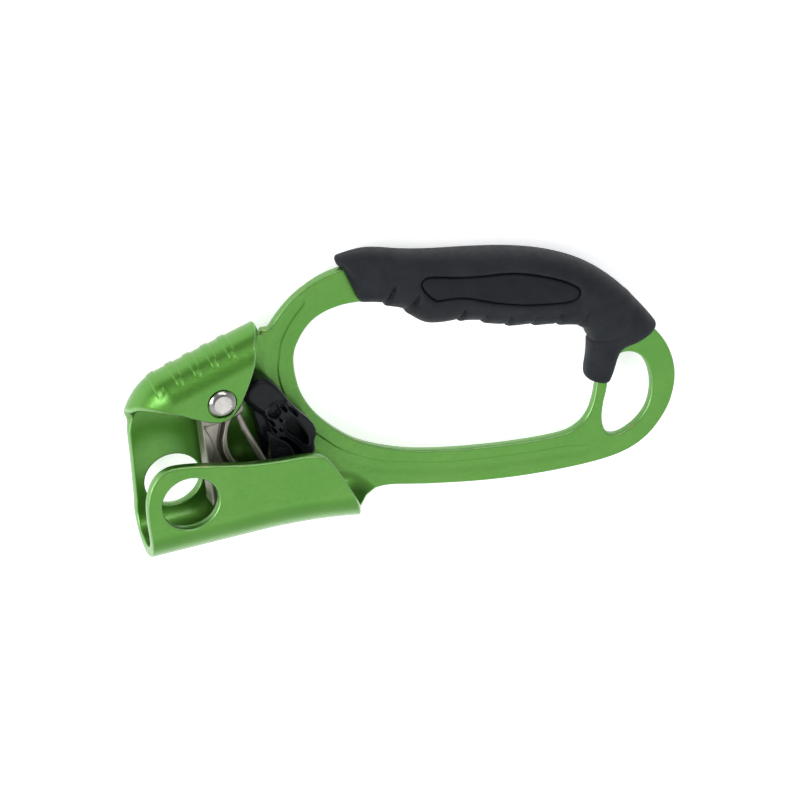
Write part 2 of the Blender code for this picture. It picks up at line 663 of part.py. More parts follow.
def grip_ring(x, y, across, half_width, half_thickness, middle=GRIP_MIDDLE, count=20):
    """One rounded cross-section of the grip."""
    direction = Vector((math.cos(math.radians(across)), math.sin(math.radians(across))))
    ring = []
    for k in range(count):
        angle = 2 * math.pi * k / count
        c, s = math.cos(angle), math.sin(angle)
        side = half_width * math.copysign(abs(c) ** (2 / SQUARENESS), c)
        up = half_thickness * math.copysign(abs(s) ** (2 / SQUARENESS), s)
        ring.append((x + direction.x * side, y + direction.y * side, middle + up))
    return ring


def build_grip_sleeve():
    sleeve = loft("grip_sleeve", [grip_ring(*section) for section in GRIP_MAIN])
    join(sleeve, loft("leg", [grip_ring(*section, middle=LEG_MIDDLE) for section in GRIP_LEG]))
    room = handle_room("room", 2)
    panel = smooth(PANEL, 2, closed=True)
    seat = grow(panel, 2.2 + GAP)
    window = grow(panel, GAP)
    cut(sleeve, room, prism("seat", [seat], -0.1, CORE_FACE + GAP), prism("window", [window], 3.0, 16.0),
        prism("back_seat", [seat], -SHEET - CORE_FACE - GAP, -SHEET + 0.1),
        prism("back_window", [window], -20.0, -SHEET - 3.0))
    return merge_flat(sleeve)


def build_grip_core(name, back=False):
    """A hard half of the grip, seated on the plate, whose raised pad shows through the rubber."""
    panel = smooth(PANEL, 2, closed=True)
    seat = grow(panel, 2.2)
    if back:
        core = prism(name, [seat], -SHEET - CORE_FACE, -SHEET - GAP)
        pad = prism("pad", [panel], -SHEET - PAD_FACE, -SHEET - 1.0)
    else:
        core = prism(name, [seat], GAP, CORE_FACE)
        pad = prism("pad", [panel], 1.0, PAD_FACE)
    join(core, pad)
    return merge_flat(core)


# ---------------------------------------------------------------- assembly

def build():
    aluminium = material("green_anodised_aluminium", (0.10, 0.36, 0.05), 0.35, 0.9)
    steel = material("bright_steel", (0.62, 0.61, 0.60), 0.25, 1.0)
    cast = material("cast_steel", (0.36, 0.33, 0.30), 0.45, 0.9)
    wire_steel = material("spring_steel", (0.35, 0.35, 0.36), 0.35, 1.0)
    plastic = material("black_plastic", (0.012, 0.012, 0.014), 0.40, 0.0)
    rubber = material("black_rubber", (0.018, 0.019, 0.022), 0.65, 0.0)

    base = empty("assembly", PART_ZERO)
    cam_axis = empty("cam_axis", (0.0, 0.0, 0.0), base)
    catch_pivot = empty("catch_pivot", (*CATCH_PIN, 0.0), cam_axis)
    catch_axis = empty("catch_axis", (0.0, 0.0, 0.0), catch_pivot)

    keep(build_frame(), "frame", aluminium, base)
    keep(build_rivet(), "pivot_rivet", steel, base)
    keep(washer("cam_bush", RIVET_R + GAP, BUSH_R, GAP, HOOD_FACE - SHEET - GAP), "cam_bush", steel, base)
    keep(washer("front_washer", BUSH_R + GAP, WASHER_R, HUB_FRONT + GAP, HOOD_FACE - SHEET - GAP),
         "front_washer", steel, base)
    keep(washer("back_washer", BUSH_R + GAP, WASHER_R, GAP, BACK_WASHER_FRONT), "back_washer", steel, base)
    keep(build_cam_spring(), "cam_spring", wire_steel, base)
    keep(build_cam(), "cam", cast, cam_axis)
    keep(build_catch_pin(), "catch_pin", plastic, catch_pivot)
    keep(build_catch(), "catch", plastic, catch_axis, (*CATCH_PIN, 0.0))
    keep(build_catch_spring(), "catch_spring", wire_steel, cam_axis)
    keep(build_grip_sleeve(), "grip_sleeve", rubber, base)
    keep(build_grip_core("grip_core_front"), "grip_core_front", plastic, base)
    keep(build_grip_core("grip_core_back", back=True), "grip_core_back", plastic, base)


clear_scene()
PARTS = make_collection()
build()
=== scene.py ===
"""Looks for the handled rope ascender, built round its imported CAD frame.

Shapes are worked out in the design's own millimetres: the zero is on the cam's rivet, on the front face of
the flat plate, X runs along the rope channel, Y across the plate to the grip and Z towards the rivet's head.
"""

import json
import math

import bpy
import numpy as np
from mathutils import Matrix, Vector
from mathutils.geometry import delaunay_2d_cdt
from mathutils.kdtree import KDTree


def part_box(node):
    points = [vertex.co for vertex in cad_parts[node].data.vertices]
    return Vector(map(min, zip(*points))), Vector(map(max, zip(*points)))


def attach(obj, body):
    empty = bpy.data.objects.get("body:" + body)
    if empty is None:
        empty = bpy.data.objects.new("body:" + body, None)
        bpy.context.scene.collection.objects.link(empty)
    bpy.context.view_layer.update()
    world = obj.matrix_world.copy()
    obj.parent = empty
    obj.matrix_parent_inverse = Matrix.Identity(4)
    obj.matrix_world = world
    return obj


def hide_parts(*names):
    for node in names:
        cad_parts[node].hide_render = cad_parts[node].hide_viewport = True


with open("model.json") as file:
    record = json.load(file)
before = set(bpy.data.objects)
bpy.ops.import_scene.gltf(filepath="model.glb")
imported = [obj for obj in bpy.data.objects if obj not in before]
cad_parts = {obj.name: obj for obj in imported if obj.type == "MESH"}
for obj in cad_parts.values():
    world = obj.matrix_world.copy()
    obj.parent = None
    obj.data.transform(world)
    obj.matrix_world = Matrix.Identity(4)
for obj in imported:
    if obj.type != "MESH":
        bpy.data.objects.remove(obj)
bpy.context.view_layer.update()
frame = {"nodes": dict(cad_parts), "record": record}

MM = 0.001
RIVET_LOW, RIVET_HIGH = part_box("pivot_rivet")
RIVET_BACK = 5.6                 # the rivet's tail reaches this far behind the plate's front face
ZERO = Vector(((RIVET_LOW.x + RIVET_HIGH.x) / 2, (RIVET_LOW.y + RIVET_HIGH.y) / 2,
               RIVET_LOW.z + RIVET_BACK * MM))

# the sheet, as in the CAD
SHEET = 3.5
MID_Z = -SHEET / 2
GUTTER_R = 10.75                 # the rope channel's bend starts at GUTTER_Y, and further back
GUTTER_Y = -38.4                 # by FLARE between these two places along it
FLARE = 3.3
FLARE_FROM = 5.0
FLARE_TO = 42.0
FLARE_POWER = 2.2
FLARE_RUNOUT = 0.06              # past there, by this times the distance squared
HOOD_R = 8.0
HOOD_ANGLE = math.radians(15.0)
HOOD_ALONG = np.array((math.cos(HOOD_ANGLE), math.sin(HOOD_ANGLE)))
HOOD_ACROSS = np.array((-math.sin(HOOD_ANGLE), math.cos(HOOD_ANGLE)))
HOOD_START = 7.0
HOOD_TAPER_FROM = -14.0          # the fold tightens and moves between these places along it
HOOD_TAPER_TO = -31.0
HOOD_TAPER_R = 3.0
HOOD_TAPER_START = -1.0
HOOD_END = 22.9
HOOD_LEAST_Y = -20.0             # nothing below this is part of the hood
EDGE = 0.65                      # rounding of the sheet's edges
EDGE_STEPS = 3

CATCH_PIN = np.array((19.0, -24.7))


# -------- points and outlines

def smooth(points, steps, closed=False):
    """Points of a Catmull-Rom curve through the given ones."""
    path = np.array(points, float)
    count = len(path)
    made = []
    for i in range(count if closed else count - 1):
        picks = [(i + k) % count if closed else min(max(i + k, 0), count - 1) for k in (-1, 0, 1, 2)]
        before, start, end, after = path[picks]
        for t in np.arange(steps) / steps:
            made.append(0.5 * (2 * start + (end - before) * t
                               + (2 * before - 5 * start + 4 * end - after) * t ** 2
                               + (3 * start - before - 3 * end + after) * t ** 3))
    if not closed:
        made.append(path[-1])
    return np.array(made)


def circle(centre, radius, count, squash=1.0):
    turn = 2 * math.pi * np.arange(count) / count
    return np.stack((centre[0] + radius * np.cos(turn), centre[1] + radius * squash * np.sin(turn)), 1)


def signed_area(loop):
    after = np.roll(loop, -1, 0)
    return 0.5 * np.sum(loop[:, 0] * after[:, 1] - after[:, 0] * loop[:, 1])


def even(loop, spacing, closed=True):
    """The same path with evenly spaced points."""
    path = np.vstack((loop, loop[:1])) if closed else loop
    steps = np.linalg.norm(np.diff(path, axis=0), axis=1)
    along = np.concatenate(((0.0,), np.cumsum(steps)))
    count = max(int(round(along[-1] / spacing)), 8)
    wanted = np.linspace(0.0, along[-1], count + 1)
    if closed:
        wanted = wanted[:-1]
    return np.stack([np.interp(wanted, along, path[:, k]) for k in range(path.shape[1])], 1)


def soften(loop, rounds):
    """Rounds the corners of an evenly spaced closed loop."""
    for _ in range(rounds):
        loop = loop + 0.5 * (0.5 * (np.roll(loop, 1, 0) + np.roll(loop, -1, 0)) - loop)
    return loop


def unit(vectors):
    return vectors / np.maximum(np.linalg.norm(vectors, axis=1), 1e-9)[:, None]


def shifted(loop, distance):
    """Every point of a closed loop moved to the left of its direction of travel."""
    first = unit(loop - np.roll(loop, 1, 0))
    second = unit(np.roll(loop, -1, 0) - loop)
    left = unit(np.stack((-first[:, 1] - second[:, 1], first[:, 0] + second[:, 0]), 1))
    tightness = np.maximum(left[:, 0] * -first[:, 1] + left[:, 1] * first[:, 0], 0.6)
    return loop + left * (distance / tightness)[:, None]


def inside(points, loops):
    """Even-odd test of many points against closed loops."""
    starts = np.vstack(loops)
    ends = np.vstack([np.roll(loop, -1, 0) for loop in loops])
    rise = ends[:, 1] - starts[:, 1]
    rise = np.where(np.abs(rise) < 1e-12, 1e-12, rise)
    found = np.zeros(len(points), bool)
    for low in range(0, len(points), 4000):
        x, y = points[low:low + 4000, 0, None], points[low:low + 4000, 1, None]
        spans = (starts[None, :, 1] > y) != (ends[None, :, 1] > y)
        cross = starts[None, :, 0] + (y - starts[None, :, 1]) / rise * (ends - starts)[None, :, 0]
        found[low:low + 4000] = (np.sum(spans & (x < cross), axis=1) % 2) == 1
    return found


def path_distance(points, path):
    """Distance of each 2D point to an open path."""
    spans = np.diff(path, axis=0)
    best = np.full(len(points), 1e9)
    for start, span, length in zip(path[:-1], spans, np.linalg.norm(spans, axis=1)):
        t = np.clip((points - start) @ span / max(length * length, 1e-12), 0.0, 1.0)
        best = np.minimum(best, np.linalg.norm(points - (start + t[:, None] * span), axis=1))
    return best


def beside(path, distance):
    """Every point of an open path moved to the right of its direction of travel."""
    travel = unit(np.gradient(path, axis=0))
    return path + np.column_stack((travel[:, 1], -travel[:, 0])) * distance


def ramp(value):
    """Smooth step from 0 to 1."""
    t = np.clip(value, 0.0, 1.0)
    return t * t * (3 - 2 * t)


def honeycomb(low, high, spacing):
    """Evenly spread points over a rectangle."""
    rows = np.arange(low[1], high[1], spacing * math.sqrt(3) / 2)
    made = []
    for k, y in enumerate(rows):
        xs = np.arange(low[0] + (k % 2) * spacing / 2, high[0], spacing)
        made.append(np.stack((xs, np.full(len(xs), y)), 1))
    return np.vstack(made)


# -------- meshes

SCENE = bpy.context.scene
PIECES = bpy.data.collections.new("ascender_looks")
SCENE.collection.children.link(PIECES)


def to_object(name, points, faces, finish, sharp=40.0):
    """A mesh object from design millimetres, smooth but for its sharp edges."""
    mesh = bpy.data.meshes.new(name)
    mesh.from_pydata((np.asarray(points) * MM + np.array(ZERO)).tolist(), [], faces)
    mesh.update()
    mesh.validate()
    mesh.shade_smooth()
    mesh.set_sharp_from_angle(angle=math.radians(sharp))
    mesh.materials.append(finish)
    made = bpy.data.objects.new(name, mesh)
    PIECES.objects.link(made)
    return made


def ring_faces(base, rows, count):
    """Quads between closed rings of points that follow each other."""
    faces = []
    for row in range(rows - 1):
        here, after = base + row * count, base + (row + 1) * count
        for k in range(count):
            n = (k + 1) % count
            faces.append((here + k, after + k, after + n, here + n))
    return faces


def rounded_plate(loops, low, high, edge, seeds):
    """Points, faces and edge amounts of a flat plate with rounded rims. loops[0] is its outline, the rest are
    its holes, and seeds are further points to spread over its two faces."""
    turns = np.radians(np.linspace(0.0, 90.0, EDGE_STEPS + 1))
    # the third number in each row is how much of the painted rim highlight, and of the rubbed wear, that ring
    # takes
    front = [(edge + 0.25, high, 0.0)]
    front += [(edge * (1 - math.sin(a)), high - edge * (1 - math.cos(a)), math.sin(2 * a)) for a in turns]
    rows = front + [(inset, low + high - z, rim_highlight_and_wear) for inset, z, rim_highlight_and_wear in reversed(front)]
    points, faces, rim_highlight_and_wear, rims = [], [], [], []
    for number, loop in enumerate(loops):
        if (signed_area(loop) > 0) != (number == 0):
            loop = loop[::-1]
        count = len(loop)
        base = sum(len(block) for block in points)
        for inset, z, amount in rows:
            ring = shifted(loop, inset)
            points.append(np.column_stack((ring, np.full(count, z))))
            rim_highlight_and_wear.append(np.full(count, amount))
        rims.append((base, count, points[-len(rows)][:, :2]))
        faces += ring_faces(base, len(rows), count)
    rim_loops = [rim[2] for rim in rims]
    seeds = seeds[inside(seeds, rim_loops)]
    flat = [Vector(p) for loop in rim_loops for p in loop] + [Vector(p) for p in seeds]
    edges, first, front_ids, back_ids = [], 0, [], []
    for base, count, loop in rims:
        edges += [(first + k, first + (k + 1) % count) for k in range(count)]
        front_ids += range(base, base + count)
        back_ids += range(base + (len(rows) - 1) * count, base + len(rows) * count)
        first += count
    found = delaunay_2d_cdt(flat, edges, [], 0, 1e-6, True)
    spots = np.array([tuple(p) for p in found[0]])
    extra = spots[len(front_ids):]
    total = sum(len(block) for block in points)
    front_ids += range(total, total + len(extra))
    back_ids += range(total + len(extra), total + 2 * len(extra))
    points += [np.column_stack((extra, np.full(len(extra), z))) for z in (high, low)]
    rim_highlight_and_wear += [np.zeros(2 * len(extra))]
    triangles = np.array([tuple(face) for face in found[2]])
    corners = spots[triangles]
    kept = inside(corners.mean(1), rim_loops)
    cross = ((corners[:, 1, 0] - corners[:, 0, 0]) * (corners[:, 2, 1] - corners[:, 0, 1])
             - (corners[:, 1, 1] - corners[:, 0, 1]) * (corners[:, 2, 0] - corners[:, 0, 0]))
    for (a, b, c), turn in zip(triangles[kept], cross[kept]):
        if turn < 0:
            b, c = c, b
        faces.append((front_ids[a], front_ids[b], front_ids[c]))
        faces.append((back_ids[a], back_ids[c], back_ids[b]))
    return np.vstack(points), faces, np.concatenate(rim_highlight_and_wear)


def clear_of(seeds, loops, distance):
    """The seeds that keep a distance from every loop."""
    spots = np.vstack(loops)
    tree = KDTree(len(spots))
    for k, spot in enumerate(spots):
        tree.insert((*spot, 0.0), k)
    tree.balance()
    return np.array([seed for seed in seeds if tree.find((*seed, 0.0))[2] > distance]).reshape(-1, 2)


# -------- the bent sheet

def gutter_start(x):
    """Where the channel's bend starts at places along it."""
    flare = FLARE * (np.maximum(x - FLARE_FROM, 0.0) / (FLARE_TO - FLARE_FROM)) ** FLARE_POWER
    return GUTTER_Y - flare - FLARE_RUNOUT * np.maximum(x - FLARE_TO, 0.0) ** 2


def hood_bend(along):
    """Bend radius and start of the hood's fold at places along it."""
    t = np.clip((HOOD_TAPER_FROM - along) / (HOOD_TAPER_FROM - HOOD_TAPER_TO), 0.0, 1.1)
    return (HOOD_R - (HOOD_R - HOOD_TAPER_R) * t ** 1.5,
            HOOD_START - (HOOD_START - HOOD_TAPER_START) * t ** 2.5)


def bent(flat):
    """Where points of the flat sheet's middle surface end up after bending."""
    x, y = flat[:, 0], flat[:, 1]
    made = np.column_stack((flat, np.full(len(flat), MID_Z)))
    along, across = flat @ HOOD_ALONG, flat @ HOOD_ACROSS
    radius, fold = hood_bend(along)
    run = across - fold
    turn = np.minimum(run / radius, math.pi)
    rest = np.maximum(run - math.pi * radius, 0.0)
    out = fold + radius * np.sin(turn) - rest
    hood = (run > 0) & (along < HOOD_END) & (y > HOOD_LEAST_Y)
    folded = along[:, None] * HOOD_ALONG + out[:, None] * HOOD_ACROSS
    made[hood, :2] = folded[hood]
    made[hood, 2] = (MID_Z + radius * (1 - np.cos(turn)))[hood]
    start = gutter_start(x)
    run = start - y
    turn = np.minimum(run / GUTTER_R, math.pi)
    rest = np.maximum(run - math.pi * GUTTER_R, 0.0)
    gutter = run > 0
    made[gutter, 1] = (start - GUTTER_R * np.sin(turn) + rest)[gutter]
    made[gutter, 2] = (MID_Z + GUTTER_R * (1 - np.cos(turn)))[gutter]
    return made


def bend_sheet(points):
    """Bends a flat solid sheet, keeping its thickness square to the bent middle surface."""
    flat = points[:, :2]
    step = 0.01
    ahead = bent(flat + (step, 0.0)) - bent(flat - (step, 0.0))
    aside = bent(flat + (0.0, step)) - bent(flat - (0.0, step))
    return bent(flat) + unit(np.cross(ahead, aside)) * (points[:, 2] - MID_Z)[:, None]


def in_gutter(x, degrees):
    """Flat-sheet point that lies at an angle round the gutter's bend."""
    return (x, float(gutter_start(np.array(x))) - GUTTER_R * math.radians(degrees))


def on_flange(x, y):
    """Flat-sheet point that ends up at (x, y) on the gutter's free wall."""
    return (x, 2 * float(gutter_start(np.array(x))) - y - math.pi * GUTTER_R)


def on_hood(along, run):
    """Flat-sheet point at a distance along the hood's fold and a run past the fold's start."""
    return tuple(HOOD_ALONG * along + HOOD_ACROSS * (float(hood_bend(np.array(along))[1]) + run))


# the plate's outer edge round the handle, the finger opening and the eye
HANDLE_OUTER = [
    (23.6, 15.2), (25.4, 17.6), (30.9, 22.8), (36.6, 26.4), (44.0, 29.4), (53.0, 30.6), (63.0, 29.2),
    (80.0, 25.4), (100.0, 21.4), (118.0, 16.6), (130.0, 10.6), (140.0, 2.6), (149.0, -7.0), (155.5, -15.0),
    (161.0, -23.2), (163.5, -31.0), (163.6, -38.5), (161.2, -46.2), (157.3, -52.1), (151.5, -57.5),
    (144.6, -60.8), (135.9, -62.3), (123.0, -62.4), (106.6, -61.3), (90.1, -59.1), (73.7, -55.9),
    (65.6, -54.0), (58.0, -52.2), (53.2, -51.9)]
OPENING = [
    (30.3, 2.1), (30.9, -8.8), (34.9, -18.4), (41.6, -26.8), (50.2, -33.9), (62.8, -39.9), (76.2, -43.7),
    (92.6, -46.7), (109.0, -48.7), (121.4, -49.2), (126.8, -47.8), (130.4, -45.0), (133.0, -40.6),
    (135.2, -33.6), (136.6, -24.0), (136.6, -14.0), (132.5, -6.0), (123.0, -0.5), (108.0, 4.5), (90.0, 9.5),
    (70.0, 14.4), (55.0, 17.2), (46.0, 17.2), (38.5, 14.6), (33.0, 8.9)]
EYE = [
    (145.8, -24.6), (149.6, -25.4), (152.4, -27.8), (154.2, -31.7), (154.9, -37.2), (154.2, -42.4),
    (152.2, -47.2), (148.3, -51.2), (143.0, -53.9), (139.0, -54.1), (136.5, -52.0), (135.7, -47.4),
    (136.8, -41.9), (138.6, -36.8), (140.2, -31.0), (142.4, -26.4)]
CARABINER_HOLE = (-16.7, -30.4)
CARABINER_HOLE_R = 9.9
CARABINER_HOLE_SQUASH = 0.92
RIVET_ON_FLAP = np.array(on_hood(0.0, math.pi * HOOD_R + HOOD_START))
RIVET_HOLE_R = 3.8
RIVET_SEAT_R = 5.0
RIVET_SEAT_DEPTH = 0.8
RIVET_SEAT_ROUND = 0.35
RIVET_SEAT_STEPS = (-0.3, -0.05, 0.0, 0.1, 0.22, 0.35, 0.6)  # mesh circles round it
# the stamped band's edge nearest to the opening
BAND_EDGE = [
    (35.9, 20.8), (32.7, 17.8), (29.4, 13.9), (26.7, 9.4), (25.3, 4.1), (24.4, 0.3), (24.7, -5.8),
    (26.4, -13.0), (30.0, -21.0), (35.8, -27.8), (43.1, -35.0), (54.5, -41.7), (66.6, -45.7), (82.8, -49.5),
    (107.6, -52.9), (119.9, -53.9), (129.3, -55.4)]
BAND_HALF = 1.9
BAND_DEPTH = 0.15
BAND_SOFT_OUT = 3.2              # how softly its two sides run out
BAND_SOFT_IN = 0.4
RIB_STARTS = (-17.7, -10.9, -4.3, 2.2, 8.6)      # along the fold
RIB_WIDTH = 2.9
RIB_RUN = (7.4, 21.0)                            # round the fold
RIB_HEIGHT = 0.42
RIBBED_ALONG = (-19.0, 13.0)                     # the part of the fold that is meshed finely
RIBBED_RUN = (5.5, 21.5)
MESH_PITCHES = (0.33, 0.85, 2.4)                 # for fine relief, for bends and for flat parts
# the free edge of the channel's wall, as bent
FLANGE_EDGE = [
    (38.5, -39.3), (35.1, -32.0), (32.5, -27.2), (30.0, -24.9), (25.2, -23.8), (16.1, -23.0), (7.1, -21.9),
    (-1.7, -20.1), (-11.9, -17.6), (-20.5, -16.3), (-24.9, -17.2), (-28.0, -19.6), (-30.2, -23.4),
    (-31.6, -28.6), (-31.9, -36.0)]
# the hood's free edge: distances along the fold and past its start
HOOD_EDGE = [
    (-29.0, 0.6), (-28.6, 4.4), (-27.2, 9.4), (-25.6, 12.2), (-23.8, 15.2), (-21.0, 19.9), (-16.7, 26.2),
    (-10.3, 33.0), (-4.4, 37.7), (-0.4, 38.6), (3.3, 37.2), (8.4, 33.1), (14.0, 26.8), (16.8, 22.7),
    (20.2, 17.2)]
HOOD_CORNER = [(21.6, 14.8), (22.1, 12.5), (22.1, 2.0), (22.5, 1.3), (23.2, 1.6), (23.6, 3.0)]


def blank_outline(steps):
    """The outer edge of the flat sheet, before bending."""
    bar = smooth(HANDLE_OUTER, steps)
    bottom = [in_gutter(*spot) for spot in ((47.6, 52), (45.3, 78), (43.6, 102), (42.9, 116))]
    bottom = smooth([HANDLE_OUTER[-1], (50.2, -53.3)] + bottom, steps)[1:]
    flange = [in_gutter(42.6, 125), in_gutter(41.0, 158)] + [on_flange(*spot) for spot in FLANGE_EDGE]
    left = [in_gutter(-31.8, 180), in_gutter(-30.9, 0), (-30.4, -34.0), (-29.7, -20.0), (-29.4, -9.0)]
    hood = smooth([on_hood(*spot) for spot in HOOD_EDGE], steps)
    corner = [on_hood(*spot) for spot in HOOD_CORNER] + [(21.4, 15.6)]
    return np.vstack((bar, bottom, smooth(flange, steps), left, hood, corner))


def band_path(inset=BAND_HALF):
    """Middle of the stamped band, from its round end above the opening to its far end below it."""
    return beside(even(smooth(BAND_EDGE, 6), 0.5, closed=False), inset)


def sheet_relief(points):
    """How far to shift each point of the flat sheet's faces: down in the stamped band on the front face, out
    in the ribs of the hood's fold, and down in the rivet's seat."""
    flat = points[:, :2]
    shift = np.zeros(len(points))
    front = points[:, 2] > MID_Z
    gap = path_distance(flat[front], band_path()[::3])
    inner = path_distance(flat[front], band_path(2 * BAND_HALF)[::3])
    soft = np.where(inner < gap + 0.5 * BAND_HALF, BAND_SOFT_OUT, BAND_SOFT_IN)
    shift[front] = -BAND_DEPTH * (1 - ramp((gap - BAND_HALF) / soft + 0.5))
    back = ~front
    along, across = flat[back] @ HOOD_ALONG, flat[back] @ HOOD_ACROSS
    run = across - hood_bend(along)[1]
    ending = np.clip((run - RIB_RUN[1] + 3.0) / 3.0, 0.0, 1.0)
    round_fold = ramp((run - RIB_RUN[0]) / 2.0) * (1 - ramp(ending))
    rise = np.zeros(len(along))
    for start in RIB_STARTS:
        width = RIB_WIDTH * (1 - 0.35 * ending)
        rise += ramp((along - start) / 0.35) * (1 - ramp((along - start - width + 0.5) / 0.5))
    on_fold = (along < HOOD_END) & (flat[back][:, 1] > HOOD_LEAST_Y)
    shift[back] = -RIB_HEIGHT * rise * round_fold * on_fold
    out = (np.linalg.norm(flat - RIVET_ON_FLAP, axis=1) - RIVET_SEAT_R) / RIVET_SEAT_ROUND
    lip = RIVET_SEAT_ROUND * (1 - np.sqrt(np.clip(1 - (1 - np.clip(out, 0.0, 1.0)) ** 2, 0.0, 1.0)))
    shift[back] += np.where(out[back] < -0.05, RIVET_SEAT_DEPTH, lip[back])
    return shift


def build_frame(finish):
    """The bent sheet: a finely meshed flat blank with rounded rims, stamped, and then bent."""
    spacing = 0.5
    loops = [soften(even(blank_outline(6), spacing), 6)]
    loops += [soften(even(smooth(outline, 6, closed=True), spacing), 4) for outline in (OPENING, EYE)]
    loops += [circle(centre, CARABINER_HOLE_R, 120, CARABINER_HOLE_SQUASH)
              for centre in (CARABINER_HOLE, on_flange(*CARABINER_HOLE))]
    loops += [circle((0.0, 0.0), RIVET_HOLE_R, 60), circle(RIVET_ON_FLAP, RIVET_HOLE_R, 60)]
    low, high = loops[0].min(0), loops[0].max(0)
    path = band_path()[::4]

    def zone(points):
        """0 where the sheet has fine relief, 1 where it bends, 2 where it is flat."""
        along, across = points @ HOOD_ALONG, points @ HOOD_ACROSS
        run = across - hood_bend(along)[1]
        near_hood = (along < HOOD_END) & (points[:, 1] > -12.0)
        ribbed = near_hood & (along > RIBBED_ALONG[0]) & (along < RIBBED_ALONG[1])
        ribbed = ribbed & (run > RIBBED_RUN[0]) & (run < RIBBED_RUN[1])
        banded = path_distance(points, path) < BAND_HALF + 0.9
        bending = (near_hood & (run > -8.0)) | ((points[:, 1] < GUTTER_Y + 1.0) & (points[:, 0] < 58.0))
        return np.where(ribbed | banded, 0, np.where(bending, 1, 2))

    seeds = []
    for level, pitch in enumerate(MESH_PITCHES):
        spread = honeycomb(low, high, pitch)
        spread = spread[inside(spread, loops)]
        spread = spread[zone(spread) == level]
        seeds.append(clear_of(spread, loops, max(EDGE + 0.25 + pitch * 0.5, 1.0)))
    seeds = np.vstack(seeds)
    seeds = seeds[np.linalg.norm(seeds - RIVET_ON_FLAP, axis=1) > RIVET_SEAT_R + 2 * RIVET_SEAT_ROUND]
    seat = [circle(RIVET_ON_FLAP, RIVET_SEAT_R + step, 90) for step in RIVET_SEAT_STEPS]
    points, faces, rim_highlight_and_wear = rounded_plate(loops, -SHEET, 0.0, EDGE, np.vstack([seeds] + seat))
    points[:, 2] += sheet_relief(points)
    made = to_object("bent_frame", bend_sheet(points), faces, finish, 50.0)
    # this rim amount drives the painted highlight along every rim and the rubbed wear patches in the green
    # finish
    rim = made.data.attributes.new("rim", 'FLOAT', 'POINT')
    rim.data.foreach_set("value", rim_highlight_and_wear)
    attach(made, "frame")
    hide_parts("frame")


# -------- solids from distance fields

class Grid:
    """A block of evenly spaced sample points. A field over it is negative inside the solid."""

    def __init__(self, low, high, pitch):
        self.low, self.pitch = np.array(low, float), pitch
        axes = [np.arange(a, b + pitch, pitch) for a, b in zip(low, high)]
        self.x, self.y, self.z = np.meshgrid(*axes, indexing='ij', sparse=True)
        flat_x, flat_y = np.meshgrid(axes[0], axes[1], indexing='ij')
        self.spots = np.column_stack((flat_x.ravel(), flat_y.ravel()))
        self.flat_shape = (len(axes[0]), len(axes[1]), 1)

    def spread(self, values):
        """Values at the plan's points as a field that is the same at every height."""
        return values.reshape(self.flat_shape)

    def outline(self, loop):
        """Signed distance in plan to a closed outline."""
        gap = path_distance(self.spots, np.vstack((loop, loop[:1])))
        return self.spread(np.where(inside(self.spots, [loop]), -gap, gap))

    def slab(self, low, high):
        return np.abs(self.z - (low + high) / 2) - (high - low) / 2

    def cylinder(self, centre, radius):
        return np.hypot(self.x - centre[0], self.y - centre[1]) - radius

    def capsule(self, start, end, radius):
        """Distance to a round bar between two points."""
        start, span = np.array(start, float), np.array(end, float) - np.array(start, float)
        gaps = (self.x - start[0], self.y - start[1], self.z - start[2])
        t = np.clip(sum(gap * part for gap, part in zip(gaps, span)) / (span @ span), 0.0, 1.0)
        return np.sqrt(sum((gap - t * part) ** 2 for gap, part in zip(gaps, span))) - radius

    def box(self, centre, along, half_length, half_width):
        """Plan distance to a slot with square ends that points along a direction in degrees."""
        c, s = math.cos(math.radians(along)), math.sin(math.radians(along))
        u = np.abs((self.x - centre[0]) * c + (self.y - centre[1]) * s) - half_length
        v = np.abs((self.y - centre[1]) * c - (self.x - centre[0]) * s) - half_width
        return np.maximum(u, v)


def rounded(side, height, radius):
    """Where two distances meet at a rounded outer edge."""
    a, b = side + radius, height + radius
    return np.minimum(np.maximum(a, b), 0.0) + np.hypot(np.maximum(a, 0.0), np.maximum(b, 0.0)) - radius


def fuse(first, second, radius):
    """Union with a fillet."""
    mix = np.clip(0.5 + 0.5 * (second - first) / radius, 0.0, 1.0)
    return second + (first - second) * mix - radius * mix * (1 - mix)


def both(first, second, radius):
    """What two solids have in common, with a softened edge."""
    return -fuse(-first, -second, radius)


def carve(first, second, radius=0.01):
    """The first solid less the second, with a softened edge."""
    return -fuse(-first, second, radius)


